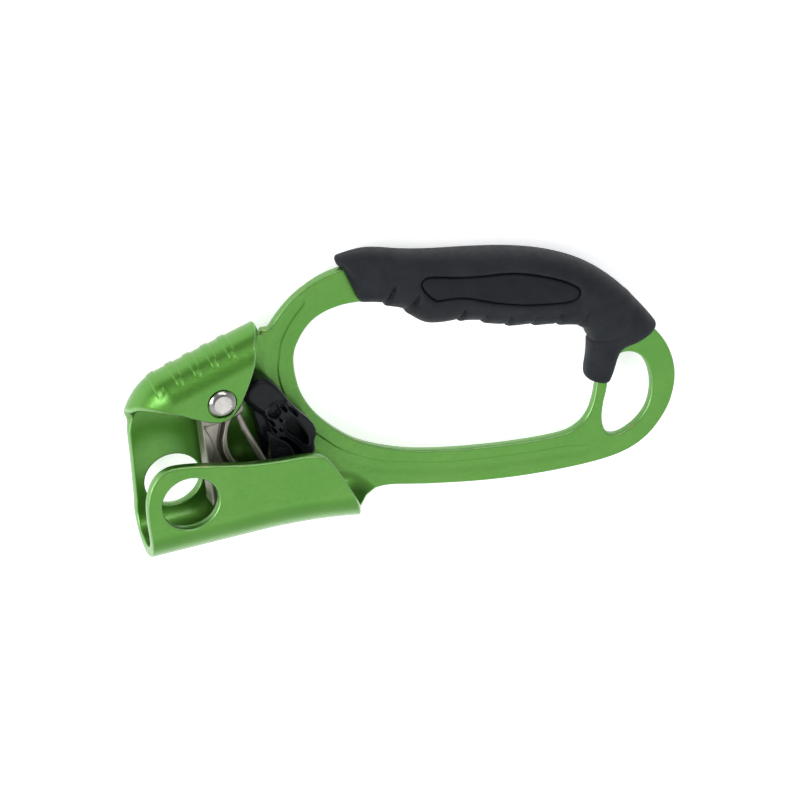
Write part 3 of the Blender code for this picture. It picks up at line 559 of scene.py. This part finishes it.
def surface(grid, field):
    """Points and faces of the skin where a field crosses zero."""
    cells = tuple(n - 1 for n in field.shape)
    total, count = np.zeros((*cells, 3)), np.zeros(cells)
    outside = field >= 0
    crossings = []
    for axis in range(3):
        ends = [slice(None)] * 3
        starts = list(ends)
        starts[axis], ends[axis] = slice(None, -1), slice(1, None)
        a, b = field[tuple(starts)], field[tuple(ends)]
        crossed = outside[tuple(starts)] != outside[tuple(ends)]
        crossings.append((crossed, outside[tuple(starts)]))
        t = np.where(crossed, a / np.where(crossed, a - b, 1.0), 0.0)
        others = [k for k in range(3) if k != axis]
        for one in (0, 1):
            for two in (0, 1):
                part = [slice(None)] * 3
                part[others[0]] = slice(one, cells[others[0]] + one)
                part[others[1]] = slice(two, cells[others[1]] + two)
                part = tuple(part)
                weight = crossed[part]
                count += weight
                total[..., axis] += t[part] * weight
                total[..., others[0]] += one * weight
                total[..., others[1]] += two * weight
    used = count > 0
    ids = np.full(cells, -1)
    ids[used] = np.arange(used.sum())
    places = np.argwhere(used) + total[used] / count[used][:, None]
    points = grid.low + places * grid.pitch
    faces = []
    for axis, (crossed, outward) in enumerate(crossings):
        others = [k for k in range(3) if k != axis]
        inner = [slice(None)] * 3
        for k in others:
            inner[k] = slice(1, -1)
        where = np.argwhere(crossed[tuple(inner)])
        for k in others:
            where[:, k] += 1
        corners = []
        for one, two in ((0, 0), (1, 0), (1, 1), (0, 1)):
            spot = where.copy()
            spot[:, others[0]] -= one
            spot[:, others[1]] -= two
            corners.append(ids[tuple(spot.T)])
        quads = np.stack(corners, 1)
        flip = outward[tuple(where.T)] ^ (axis == 1)
        quads[flip] = quads[flip][:, ::-1]
        faces.append(quads)
    return points, np.vstack(faces)


def relaxed(points, faces, rounds):
    """Evens out a skin a little."""
    ends = np.vstack([faces[:, (k, (k + 1) % 4)] for k in range(4)])
    count = np.bincount(ends[:, 0], minlength=len(points)) + np.bincount(ends[:, 1], minlength=len(points))
    for _ in range(rounds):
        total = np.zeros_like(points)
        for k in range(3):
            total[:, k] = (np.bincount(ends[:, 0], points[ends[:, 1], k], len(points))
                           + np.bincount(ends[:, 1], points[ends[:, 0], k], len(points)))
        points = points + 0.5 * (total / count[:, None] - points)
    return points


def from_field(name, grid, field, finish, body, node, rounds=2):
    """The skin of a field as a piece that stands for a CAD node."""
    points, faces = surface(grid, field)
    made = to_object(name, relaxed(points, faces, rounds), faces.tolist(), finish, 180.0)
    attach(made, body)
    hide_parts(node)


# -------- the grip

GRIP_MIDDLE = MID_Z
# centre x, centre y, across direction in degrees, half width, half thickness
GRIP_MAIN = [
    (52.7, 25.9, 107.3, 9.4, 6.4), (61.2, 25.3, 93.5, 9.7, 7.8), (71.4, 21.5, 79.0, 9.9, 9.2),
    (81.0, 16.5, 76.5, 12.5, 10.4), (94.5, 14.2, 73.5, 12.2, 11.0), (107.0, 10.3, 73.0, 13.3, 11.0),
    (118.3, 6.8, 63.0, 13.0, 11.0), (128.6, 2.4, 50.0, 12.0, 10.6), (138.2, -3.8, 34.0, 10.2, 9.6),
    (147.0, -12.8, 24.0, 8.6, 8.0), (152.7, -20.4, 20.5, 7.7, 5.9)]
GRIP_LEG = [
    (141.5, -5.0, 0.0, 6.6, 7.4), (140.6, -15.0, 0.0, 6.5, 7.0), (139.0, -22.5, -6.0, 5.9, 6.2),
    (137.0, -28.8, -12.0, 5.5, 5.6), (135.6, -33.2, -24.0, 4.6, 4.8)]
PANEL = [
    (75.9, 20.9), (76.8, 22.3), (78.7, 22.8), (83.7, 21.8), (88.9, 20.5), (97.6, 19.0), (104.7, 17.9),
    (110.5, 16.5), (116.8, 14.2), (123.7, 11.0), (128.0, 8.3), (130.3, 6.2), (130.6, 4.6), (129.3, 3.1),
    (126.3, 2.6), (121.0, 3.3), (112.2, 5.0), (106.9, 6.5), (101.1, 8.5), (96.6, 10.4), (92.2, 12.4),
    (88.1, 13.6), (84.5, 14.0), (81.0, 14.2), (79.4, 15.0), (77.0, 18.0)]
SQUARENESS = 2.35
# finger grooves: top end, end at the silhouette, height of the lump that follows, its length
GROOVES = [
    ((66.6, 21.3), (63.0, 14.3), 0.85, 7.5), ((74.3, 16.8), (69.9, 9.6), 0.85, 11.0),
    ((90.0, 8.0), (87.4, 2.6), 0.7, 8.5), ((97.8, 4.2), (95.5, -1.3), 0.7, 9.0),
    ((106.1, 1.3), (103.8, -4.6), 0.65, 9.0), ((114.9, -0.9), (113.0, -6.9), 0.6, 9.0),
    ((123.8, -1.7), (122.3, -7.7), 0.6, 10.0), ((133.6, -3.9), (131.5, -7.6), 0.45, 4.0)]
GROOVE_HALF = 0.5                # half width of a groove, and its depth as a share of its lump
GROOVE_SHARE = 1.7
END_SLANT = 0.3                  # the end face by the head leans back away from the plate
END_SET = 1.2
END_SCALE = 0.96
COLLAR_X = 138.0                 # lowest place of the curved crease where the leg leaves the grip
COLLAR_Y = -17.0
COLLAR_CURVE = 0.065
COLLAR_HALF = 0.55
COLLAR_DEPTH = 0.7
LEG_INSET = 0.25                 # the leg is slimmer past the crease
PANEL_DIP = 0.75                 # the rubber dips towards the panel
PANEL_DIP_WIDTH = 2.0
CORE_FACE = 5.0
CORE_LEDGE = 2.2
GAP = 0.3


def swept(grid, stations):
    """A body with rounded sections along a centreline, and the distances past its two ends."""
    line = smooth(stations, 14)
    turn = np.radians(line[:, 2])
    across = np.column_stack((np.cos(turn), np.sin(turn)))
    travel = np.column_stack((np.sin(turn), -np.cos(turn)))
    travel *= np.sign(np.sum(travel[0] * (line[1, :2] - line[0, :2])))
    spots = grid.spots
    ahead = spots @ travel.T - np.sum(line[:, :2] * travel, axis=1)
    aside = spots @ across.T - np.sum(line[:, :2] * across, axis=1)
    nearest = np.argmin(np.abs(ahead) + 0.02 * np.abs(aside), axis=1)
    rows = np.arange(len(spots))
    step = np.linalg.norm(np.gradient(line[:, :2], axis=0), axis=1)
    place = np.clip(nearest + np.clip(ahead[rows, nearest] / step[nearest], -1.0, 1.0), 0, len(line) - 1)
    order = np.arange(len(line))
    centre_x, centre_y, facing, width, height = (np.interp(place, order, column) for column in line.T)
    facing = np.radians(facing)
    off = (spots[:, 0] - centre_x) * np.cos(facing) + (spots[:, 1] - centre_y) * np.sin(facing)
    side = grid.spread(np.abs(off) / width) ** SQUARENESS
    up = (np.abs(grid.z - GRIP_MIDDLE) / grid.spread(height)) ** SQUARENESS
    field = ((side + up) ** (1 / SQUARENESS) - 1) * grid.spread(np.minimum(width, height))
    return field, grid.spread(-ahead[:, 0]), grid.spread(ahead[:, -1])


def finger_lumps(grid):
    """Height of the saw-edged lumps on the side of the grip that the fingers wrap round."""
    spots = grid.spots
    height = np.zeros(len(spots))
    for top, end, lump, length in GROOVES:
        top, end = np.array(top), np.array(end)
        span = end - top
        reach = (spots - top) @ span / (span @ span)
        past = (spots - end) @ np.array((-span[1], span[0])) / np.linalg.norm(span)
        fade = np.clip(1 - past / length, 0.0, 1.0)
        height += lump * ramp(past / GROOVE_HALF) * fade * ramp((reach + 0.3) / 0.45)
        groove = np.exp(-((past + 0.1) / GROOVE_HALF) ** 2)
        height -= GROOVE_SHARE * lump * groove * ramp((reach + 0.25) / 0.25)
    return grid.spread(height)


def build_grip(rubber, plastic):
    """Rubber moulded over two hard halves, whose pads show through it at the front and at the back."""
    grid = Grid((44.0, -40.0, -15.0), (166.0, 42.0, 11.5), 0.5)
    main, before, after = swept(grid, GRIP_MAIN)
    slant = END_SLANT * np.abs(grid.z - GRIP_MIDDLE) - END_SET
    main = both(main, END_SCALE * (before + slant), 1.0)
    main = both(main, after, 3.0)
    leg, above, below = swept(grid, GRIP_LEG)
    leg = both(both(leg, below, 2.0), above, 1.0)
    collar = grid.y - COLLAR_Y - COLLAR_CURVE * (grid.x - COLLAR_X) ** 2
    leg = leg + LEG_INSET * ramp(0.5 - collar / 0.5)
    panel = grid.outline(smooth(PANEL, 6, closed=True))
    skin = fuse(main, leg, 4.0) - finger_lumps(grid)
    skin = skin + PANEL_DIP * (1 - ramp(panel / PANEL_DIP_WIDTH))
    beside_leg = ramp((144.0 - grid.x) / 5.0) * ramp((grid.x - 129.5) / 2.0)
    skin = skin + COLLAR_DEPTH * np.exp(-(collar / COLLAR_HALF) ** 2) * beside_leg
    well = np.maximum(panel - 0.2, CORE_FACE - np.abs(grid.z - GRIP_MIDDLE))
    plate = grid.outline(smooth(HANDLE_OUTER, 4).tolist() + [(20.0, -50.0), (15.0, 0.0)])
    for hole in (OPENING, EYE):
        plate = np.maximum(plate, -grid.outline(smooth(hole, 4, closed=True)))
    room = np.maximum(plate - GAP, grid.slab(-SHEET - GAP, GAP))
    mouth = np.maximum(np.maximum(plate - 1.0, grid.slab(-SHEET - 1.0, 1.0)), -2.0 - before)
    room = np.minimum(room, mouth)
    seats = np.maximum(panel - CORE_LEDGE - GAP, grid.slab(-SHEET - CORE_FACE - GAP, CORE_FACE + GAP))
    sleeve = carve(skin, well, 0.6)
    sleeve = np.maximum(np.maximum(sleeve, -room), -seats)
    from_field("grip_rubber", grid, sleeve, rubber, "frame", "grip_sleeve")
    body = np.maximum(panel, 0.8 - np.abs(grid.z - GRIP_MIDDLE))
    face = both(main + PANEL_DIP, body, 0.6)
    ledge = np.maximum(panel - CORE_LEDGE, grid.slab(-SHEET - CORE_FACE, CORE_FACE))
    cores = np.minimum(face, ledge)
    front = np.maximum(cores, GAP - grid.z)
    back = np.maximum(cores, grid.z + SHEET + GAP)
    from_field("grip_panel_front", grid, front, plastic, "frame", "grip_core_front")
    from_field("grip_panel_back", grid, back, plastic, "frame", "grip_core_back")


# -------- cam, catch and rivet

NOSE = [
    (-6.9, -35.8), (-5.9, -38.2), (-3.9, -40.6), (-0.4, -42.6), (4.8, -44.0), (10.4, -44.5), (15.6, -43.6),
    (19.2, -41.4)]
TOOTH_PITCH = 2.6
TOOTH_HEIGHT = 1.1
TOOTH_TIP = 0.78                 # share of a tooth's pitch that rises
CAM_BACK = 3.2
CAM_FRONT = 11.8
HUB_R = 8.2
HUB_FRONT = 10.9
ROD = [(5.4, -5.0, 9.6), (7.7, -13.4, 9.6), (14.2, -31.0, 9.6)]
ROD_R = 1.2
CAM_WEB = [
    (-5.9, -9.4), (-2.6, -8.7), (0.9, -8.8), (0.0, -11.6), (-0.9, -15.0), (-1.0, -18.6), (0.0, -22.2),
    (1.8, -26.0), (2.4, -30.0), (-2.0, -31.5), (-5.4, -25.0), (-4.3, -19.6), (-4.2, -16.3), (-4.9, -12.6)]
CAM_GROOVE = [
    (0.2, -9.4), (-0.6, -12.0), (-1.5, -15.0), (-1.7, -18.6), (-0.8, -22.2), (0.9, -26.0), (1.4, -29.6)]


def toothed_edge():
    """Saw teeth at an even pitch along the cam's nose."""
    path = even(smooth(NOSE, 8), 0.05, closed=False)
    along = np.arange(len(path)) * np.linalg.norm(path[1] - path[0])
    phase = (along / TOOTH_PITCH) % 1.0
    height = np.where(phase < TOOTH_TIP, phase / TOOTH_TIP, (1 - phase) / (1 - TOOTH_TIP)) * TOOTH_HEIGHT
    return beside(path, height[:, None])[::4]


def build_cam(finish):
    """The cast cam: a hub, a grooved web, a toothed nose, a rod and the ear that holds the catch."""
    grid = Grid((-9.6, -47.6, 2.0), (24.0, 9.6, 13.4), 0.3)
    outline = [(-6.9, 2.0), (-7.0, -20.0)] + toothed_edge().tolist()
    edge = smooth([(19.6, -35.0), (17.6, -31.2), (15.0, -29.6), (11.0, -29.0), (7.0, -28.8), (4.4, -26.6),
                   (2.3, -23.0), (1.1, -19.3), (1.0, -15.4), (1.8, -11.6), (3.6, -7.8)], 5)
    outline += edge.tolist()
    body = rounded(grid.outline(np.array(outline)), grid.slab(CAM_BACK, CAM_FRONT), 0.6)
    barrel = grid.cylinder((0.0, 0.0), HUB_R)
    hub = rounded(barrel, grid.slab(CAM_BACK + 0.2, HUB_FRONT), 0.5)
    lug = grid.outline(np.array(((2.0, -3.0), (5.0, -0.6), (7.6, -3.2), (8.1, -5.2), (7.5, -6.4),
                                 (5.4, -7.4), (3.2, -7.8))))
    lug = rounded(lug, grid.slab(7.4, CAM_FRONT - 0.1), 0.4)
    rod = fuse(grid.capsule(ROD[0], ROD[1], ROD_R), grid.capsule(ROD[1], ROD[2], ROD_R), 0.3)
    ear = smooth([(11.5, -31.0), (14.6, -29.2), (16.6, -22.6), (19.0, -21.6), (21.4, -22.7), (22.1, -24.7),
                  (21.4, -27.0), (17.0, -31.6)], 6, closed=True)
    ear = rounded(grid.outline(ear), grid.slab(5.0, 7.6), 0.4)
    solid = fuse(fuse(body, hub, 0.6), lug, 0.5)
    solid = fuse(fuse(solid, rod, 0.8), ear, 0.5)
    web = smooth(CAM_WEB, 6, closed=True)
    solid = carve(solid, np.maximum(grid.outline(web), CAM_FRONT - 0.9 - grid.z), 0.3)
    groove = even(smooth(CAM_GROOVE, 6), 0.4, closed=False)
    gap = path_distance(grid.spots, groove)
    solid = carve(solid, np.maximum(grid.spread(gap - 0.75), CAM_FRONT - 3.4 - grid.z), 0.4)
    solid = carve(solid, np.maximum(grid.cylinder((-5.9, -9.0), 0.5), CAM_FRONT - 1.4 - grid.z), 0.2)
    solid = carve(solid, grid.cylinder((0.0, 0.0), 5.1), 0.3)
    low_hub = np.maximum(barrel, grid.z - 5.2)
    high_hub = np.maximum(barrel, HUB_FRONT - grid.z)
    solid = carve(carve(solid, low_hub), high_hub)
    solid = carve(solid, grid.cylinder(CATCH_PIN, 1.9), 0.2)
    lowest = min(y for _, y in NOSE) - TOOTH_HEIGHT
    bevel = ((grid.y - lowest) + (grid.z - CAM_BACK) - 2.4) / math.sqrt(2.0)
    from_field("cast_cam", grid, np.maximum(solid, -bevel), finish, "cam", "cam", 1)


CATCH_BACK = 1.6
CATCH_FRONT = 10.8
CATCH_PAD = [
    (9.0, -3.6), (9.6, 0.4), (11.6, 2.0), (15.0, 2.9), (17.9, 1.9), (21.1, -1.7), (24.8, -8.4),
    (27.6, -12.6), (30.2, -15.8), (31.9, -19.0), (32.2, -22.0), (31.3, -24.6), (30.9, -28.6), (26.5, -30.0),
    (19.6, -29.8), (17.0, -28.6), (16.5, -23.0), (16.3, -15.4), (15.4, -11.8), (12.0, -8.0)]
CATCH_ARM = [
    (12.6, -9.4), (13.2, -16.0), (13.4, -24.0), (14.2, -27.6), (18.0, -29.2), (20.0, -20.0), (18.0, -8.0)]
CATCH_CHAMFER = 1.8
CATCH_THIN = 0.9                 # the chamfer is this much narrower away from the pad's corner by the rivet
# under the arched lip: the sunken plate, and what is cut into it
CATCH_WELL = [
    (15.2, -12.4), (15.9, -10.2), (16.9, -8.6), (18.2, -7.6), (19.8, -7.1), (21.9, -7.6), (24.1, -9.3),
    (27.2, -12.6), (30.4, -16.4), (32.4, -19.6), (33.0, -24.0), (32.0, -32.0), (18.0, -33.0), (15.0, -30.0),
    (15.2, -22.0)]
CATCH_CAVITY = [
    (16.7, -11.2), (17.1, -9.3), (18.4, -8.2), (19.8, -8.1), (20.6, -9.6), (21.1, -11.4), (19.6, -12.9),
    (18.2, -12.6)]
CATCH_HOLE = [
    (21.9, -16.2), (22.2, -14.6), (23.8, -14.2), (25.9, -15.8), (27.8, -18.8), (29.0, -22.2), (28.8, -24.9),
    (27.2, -24.2), (25.6, -22.0), (23.6, -19.9), (22.3, -18.4)]
CATCH_GAP = [
    (21.0, -20.8), (21.9, -20.9), (23.6, -22.8), (25.4, -25.0), (26.4, -27.6), (26.0, -31.0), (24.0, -31.0),
    (23.6, -26.4), (22.4, -23.2)]
CATCH_FLAT = [
    (15.0, -17.2), (16.6, -17.4), (18.8, -19.8), (21.1, -21.7), (22.7, -24.4), (23.6, -27.4), (24.2, -32.0),
    (15.0, -32.0)]
CATCH_RELIEF = [(16.2, -20.5), (20.5, -20.2), (22.6, -24.7), (21.0, -31.0), (10.0, -36.0), (10.0, -18.0)]
SLOT_TURN = 121.0
SLOTS = [
    ((22.2, -9.9), 1.7, 0.55), ((25.3, -11.9), 2.4, 0.4), ((17.5, -14.2), 1.6, 0.4),
    ((17.9, -17.0), 1.5, 0.35), ((20.6, -14.0), 0.9, 0.3), ((20.2, -17.6), 0.8, 0.3)]
LIP_FACE = 11.35
WELL_FACE = 9.7
SLOT_FLOOR = 7.2
CAVITY_FLOOR = 7.0
HOLE_FLOOR = 5.6
COVER_FACE = 10.75               # the flat over the pin and the catch's spring
STRIPE_PITCH = 0.95


def build_catch(finish):
    """The safety catch: a chamfered pad on an arm, with a sunken plate under an arched lip."""
    grid = Grid((7.6, -31.8, 0.8), (34.0, 5.0, 12.2), 0.24)
    pad = grid.outline(even(smooth(CATCH_PAD, 6, closed=True), 0.4))
    height = grid.slab(CATCH_BACK, CATCH_FRONT)
    toward = (grid.x - CATCH_PAD[0][0]) * 0.8 + (grid.y - CATCH_PAD[0][1]) * 0.6
    bevel = (pad + height + CATCH_CHAMFER - CATCH_THIN * ramp((toward - 3.0) / 6.0)) / math.sqrt(2.0)
    solid = both(rounded(pad, height, 0.6), bevel, 0.35)
    arm = grid.outline(smooth(CATCH_ARM, 6, closed=True))
    solid = fuse(solid, rounded(arm, grid.slab(CATCH_BACK + GAP, 7.4), 0.6), 0.5)
    well, cavity, hole, gap, flat, relief = (grid.outline(smooth(outline, 5, closed=True)) for outline in (
        CATCH_WELL, CATCH_CAVITY, CATCH_HOLE, CATCH_GAP, CATCH_FLAT, CATCH_RELIEF))
    lip = rounded(np.maximum(np.abs(well - 0.35) - 0.55, pad + 0.8), grid.slab(8.0, LIP_FACE), 0.45)
    solid = fuse(solid, lip, 0.3)
    solid = carve(solid, np.maximum(well, WELL_FACE - grid.z), 0.2)
    solid = carve(solid, np.maximum(cavity, CAVITY_FLOOR - grid.z), 0.25)
    for centre, half_length, half_width in SLOTS:
        slot = grid.box(centre, SLOT_TURN, half_length, half_width)
        solid = carve(solid, np.maximum(slot, SLOT_FLOOR - grid.z), 0.15)
    solid = fuse(solid, rounded(np.abs(hole - 0.2) - 0.35, grid.slab(8.0, 10.2), 0.25), 0.2)
    solid = carve(solid, np.maximum(hole, HOLE_FLOOR - grid.z), 0.2)
    cover = fuse(flat, grid.cylinder(CATCH_PIN, 3.3), 0.6)
    solid = carve(solid, np.maximum(np.maximum(gap, -cover), HOLE_FLOOR - grid.z), 0.25)
    cover = np.maximum(cover, pad - 1.3 * ramp((grid.y + 28.8) / 1.5))
    cover = np.maximum(cover, -grid.capsule(ROD[1], ROD[2], ROD_R + 1.7))
    solid = fuse(solid, rounded(cover, grid.slab(9.0, COVER_FACE), 0.35), 0.2)
    solid = carve(solid, np.maximum(relief, grid.slab(4.7, 10.15)), 0.1)
    ring = np.abs(grid.cylinder(CATCH_PIN, 1.75)) - 0.16
    solid = carve(solid, np.maximum(ring, 10.5 - grid.z), 0.1)
    across = 0.62 * (grid.x - CATCH_PIN[0]) + 0.78 * (grid.y - CATCH_PIN[1])
    stripes = np.sin(across * 2 * math.pi / STRIPE_PITCH)
    boss = np.maximum(grid.cylinder(CATCH_PIN, 1.6), 10.6 - 0.14 * stripes - grid.z)
    solid = carve(solid, np.maximum(boss, 0.15 - stripes), 0.1)
    from_field("plastic_catch", grid, solid, finish, "catch", "catch", 1)


def turned(name, profile, finish, body, node, centre=(0.0, 0.0), sides=128):
    """A profile of (radius, height) points, listed down its outer side, turned about a vertical axis."""
    profile = np.array(profile, float)
    turn = 2 * math.pi * np.arange(sides) / sides
    points = [np.column_stack((centre[0] + radius * np.cos(turn), centre[1] + radius * np.sin(turn),
                               np.full(sides, height))) for radius, height in profile]
    faces = ring_faces(0, len(profile), sides)
    faces.append(tuple(range(sides)))
    faces.append(tuple(reversed(range((len(profile) - 1) * sides, len(profile) * sides))))
    made = to_object(name, np.vstack(points), faces, finish, 25.0)
    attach(made, body)
    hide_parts(node)


def build_catch_pin(finish):
    """Pin of the catch: a plain shank with a flanged head at the back."""
    profile = [(1.2, 9.3), (1.5, 9.2), (1.6, 9.0), (1.6, 1.3), (2.25, 1.3), (2.4, 1.15), (2.4, 0.85),
               (2.25, 0.7)]
    turned("catch_pin_turned", profile, finish, "cam", "catch_pin", CATCH_PIN, 64)


def build_rivet(finish):
    """Bevelled head in the flap's seat, shank, and formed tail behind the plate."""
    profile = [(2.95, 16.83), (3.05, 16.88), (3.2, 16.86), (4.5, 16.2), (4.63, 16.08), (4.65, 15.95),
               (4.65, 15.5), (3.5, 15.5), (3.5, -3.8), (5.2, -3.8), (5.2, -4.7), (5.05, -5.1), (4.5, -5.5),
               (3.9, -5.6), (3.0, -5.6)]
    turned("rivet", profile, finish, "frame", "pivot_rivet")


# -------- materials

def new_material(name):
    made = bpy.data.materials.new(name)
    made.use_nodes = True
    return made, made.node_tree, made.node_tree.nodes["Principled BSDF"]


def put(node, values):
    """Sets inputs of a shader node by their names."""
    for socket, value in values.items():
        node.inputs[socket].default_value = value


def noise(tree, scale, detail, roughness=0.5):
    made = tree.nodes.new("ShaderNodeTexNoise")
    put(made, {"Scale": scale, "Detail": detail, "Roughness": roughness})
    tree.links.new(tree.nodes.new("ShaderNodeTexCoord").outputs["Object"], made.inputs["Vector"])
    return made.outputs["Fac"]


def mapped(tree, value, low, high, to_low, to_high):
    made = tree.nodes.new("ShaderNodeMapRange")
    put(made, {"From Min": low, "From Max": high, "To Min": to_low, "To Max": to_high})
    tree.links.new(value, made.inputs["Value"])
    return made.outputs["Result"]


def mixed(tree, factor, first, second):
    made = tree.nodes.new("ShaderNodeMix")
    made.data_type = 'RGBA'
    tree.links.new(factor, made.inputs["Factor"])
    for socket, colour in ((made.inputs[6], first), (made.inputs[7], second)):
        if isinstance(colour, tuple):
            socket.default_value = (*colour, 1.0)
        else:
            tree.links.new(colour, socket)
    return made.outputs[2]


def bumped(tree, shader, height, distance, strength):
    made = tree.nodes.new("ShaderNodeBump")
    put(made, {"Distance": distance, "Strength": strength})
    tree.links.new(height, made.inputs["Height"])
    tree.links.new(made.outputs["Normal"], shader.inputs["Normal"])


def product(tree, first, second):
    made = tree.nodes.new("ShaderNodeMath")
    made.operation = 'MULTIPLY'
    tree.links.new(first, made.inputs[0])
    tree.links.new(second, made.inputs[1])
    return made.outputs[0]


GLOSS_SPREAD = 0.05
ANODISED = ((0.085, 0.268, 0.031), (0.101, 0.282, 0.037))
# painted highlight: the paler green laid along the middle of every rounded rim
ANODISED_RIM_HIGHLIGHT = (0.22, 0.44, 0.15)
ANODISED_WORN = (0.50, 0.38, 0.14)


def anodised_aluminium():
    """Bead-blasted, bright green, with a fine grain, faint clouding, a painted pale highlight along every
    rounded rim, and rims rubbed bare here and there.
    """
    made, tree, shader = new_material("green_anodised_aluminium")
    cloud = noise(tree, 60.0, 3.0)
    body = mixed(tree, mapped(tree, cloud, 0.35, 0.65, 0.0, 1.0), *ANODISED)
    rim = tree.nodes.new("ShaderNodeAttribute")
    rim.attribute_name = "rim"
    patches = mapped(tree, noise(tree, 110.0, 5.0, 0.7), 0.60, 0.72, 0.0, 0.8)
    rubbed = product(tree, rim.outputs["Fac"], patches)
    # every rim is mixed towards the paler green as a painted highlight, then the rubbed patches towards bare
    # metal
    pale = mixed(tree, rim.outputs["Fac"], body, ANODISED_RIM_HIGHLIGHT)
    highlighted_and_worn = mixed(tree, rubbed, pale, ANODISED_WORN)
    tree.links.new(highlighted_and_worn, shader.inputs["Base Color"])
    put(shader, {"Metallic": 0.9, "Coat Weight": 0.45, "Coat Roughness": 0.2})
    gloss = mapped(tree, noise(tree, 900.0, 2.0), 0.3, 0.7, 0.36, 0.46)
    tree.links.new(gloss, shader.inputs["Roughness"])
    bumped(tree, shader, noise(tree, 2600.0, 2.0), 0.00006, 0.5)
    return made


def plain(name, colour, metallic, roughness, grain, depth, specular=0.5):
    """A material with a fine grain and a slight clouding of its colour and gloss."""
    made, tree, shader = new_material(name)
    lighter = tuple(min(c * 1.25 + 0.002, 1.0) for c in colour)
    darker = tuple(c * 0.8 for c in colour)
    cloud = mapped(tree, noise(tree, 140.0, 4.0, 0.6), 0.3, 0.7, 0.0, 1.0)
    tree.links.new(mixed(tree, cloud, darker, lighter), shader.inputs["Base Color"])
    put(shader, {"Metallic": metallic, "Specular IOR Level": specular})
    spread = noise(tree, 420.0, 3.0)
    gloss = mapped(tree, spread, 0.3, 0.7, roughness - GLOSS_SPREAD, roughness + GLOSS_SPREAD)
    tree.links.new(gloss, shader.inputs["Roughness"])
    bumped(tree, shader, noise(tree, grain, 3.0, 0.6), depth, 0.6)
    return made


# -------- room, light and camera

LIGHTS_AIM = Vector((0.0, 0.0, 0.02))
CAMERA_PLACE = Vector((-410.272, 823.250, 1749.239))         # in design millimetres
CAMERA_RIGHT = Vector((0.943298, -0.114362, 0.311630))
CAMERA_DOWN = Vector((-0.231695, -0.899107, 0.371386))


def light(name, place, size, power):
    """A soft box in the room, turned to the object."""
    data = bpy.data.lights.new(name, 'AREA')
    data.shape = 'RECTANGLE'
    data.size, data.size_y = size
    data.energy = power
    made = bpy.data.objects.new(name, data)
    made.location = place
    made.rotation_euler = (LIGHTS_AIM - Vector(place)).to_track_quat('-Z', 'Y').to_euler()
    SCENE.collection.objects.link(made)


def build_room():
    """Pale floor, soft boxes, and a studio that is brighter in front of the object than elsewhere."""
    world = bpy.data.worlds.new("studio")
    world.use_nodes = True
    tree = world.node_tree
    split = tree.nodes.new("ShaderNodeSeparateXYZ")
    tree.links.new(tree.nodes.new("ShaderNodeTexCoord").outputs["Generated"], split.inputs[0])
    depth = mapped(tree, split.outputs["Y"], -0.5, 0.6, 0.95, 0.26)
    above = mapped(tree, split.outputs["Z"], 0.82, 0.98, 1.0, 0.55)
    tree.links.new(product(tree, depth, above), tree.nodes["Background"].inputs["Strength"])
    put(tree.nodes["Background"], {"Color": (0.94, 0.97, 1.0, 1.0)})
    SCENE.world = world
    SCENE.view_settings.view_transform = 'Standard'
    bpy.ops.mesh.primitive_plane_add(size=6.0, location=(0.0, 0.0, 0.0))
    floor = bpy.context.object
    floor.name = "floor"
    made, tree, shader = new_material("pale_floor")
    cloud = mapped(tree, noise(tree, 6.0, 2.0), 0.3, 0.7, 0.0, 1.0)
    tree.links.new(mixed(tree, cloud, (0.93, 0.93, 0.93), (0.95, 0.95, 0.95)), shader.inputs["Base Color"])
    put(shader, {"Roughness": 0.7, "Emission Color": (1.0, 1.0, 1.0, 1.0), "Emission Strength": 0.5})
    floor.data.materials.append(made)
    light("left_box", (-1.25, 0.30, 1.10), (0.9, 0.9), 17.0)
    light("front_box", (0.38, -0.90, 1.70), (1.8, 0.8), 4.5)
    light("back_box", (0.25, 1.2, 0.95), (1.0, 0.35), 2.0)
    light("edge_box", (0.38, 0.88, 1.31), (0.9, 0.22), 4.5)


def build_camera():
    """Looks down on the head's side of the object, with the grip towards the top of the view."""
    data = bpy.data.cameras.new("camera")
    data.lens = 265.5
    data.sensor_width = 36.0
    data.clip_start = 0.1
    data.clip_end = 20.0
    made = bpy.data.objects.new("camera", data)
    ahead = CAMERA_RIGHT.cross(CAMERA_DOWN)
    turn = Matrix((CAMERA_RIGHT, -CAMERA_DOWN, -ahead)).transposed().to_4x4()
    made.matrix_world = Matrix.Translation(ZERO + CAMERA_PLACE * MM) @ turn
    SCENE.collection.objects.link(made)
    SCENE.camera = made


build_room()
build_camera()
GREEN = anodised_aluminium()
build_frame(GREEN)
RUBBER = plain("black_rubber", (0.0105, 0.0125, 0.0160), 0.0, 0.62, 3000.0, 0.00003, 0.22)
PANEL_RUBBER = plain("panel_rubber", (0.0068, 0.0082, 0.0106), 0.0, 0.60, 3000.0, 0.00003, 0.20)
PLASTIC = plain("black_plastic", (0.0030, 0.0036, 0.0052), 0.0, 0.34, 2600.0, 0.00002, 0.2)
CAST = plain("cast_steel", (0.27, 0.25, 0.215), 0.9, 0.42, 1500.0, 0.00005)
STEEL = plain("bright_steel", (0.38, 0.365, 0.34), 1.0, 0.17, 3000.0, 0.00001)
WIRE = plain("spring_steel", (0.30, 0.30, 0.31), 1.0, 0.3, 3000.0, 0.00001)
build_grip(RUBBER, PANEL_RUBBER)
build_cam(CAST)
build_catch(PLASTIC)
build_rivet(STEEL)
build_catch_pin(PLASTIC)
FINISHES = {"anodised_frame": GREEN, "bright_steel": STEEL, "spring_steel": WIRE, "cast_steel": CAST,
            "black_plastic": PLASTIC, "black_rubber": RUBBER}
for subpart in frame["record"]["subparts"]:
    node = frame["nodes"][subpart["node"]]
    for holder in node.material_slots:
        holder.material = FINISHES[subpart["material_slot"]]
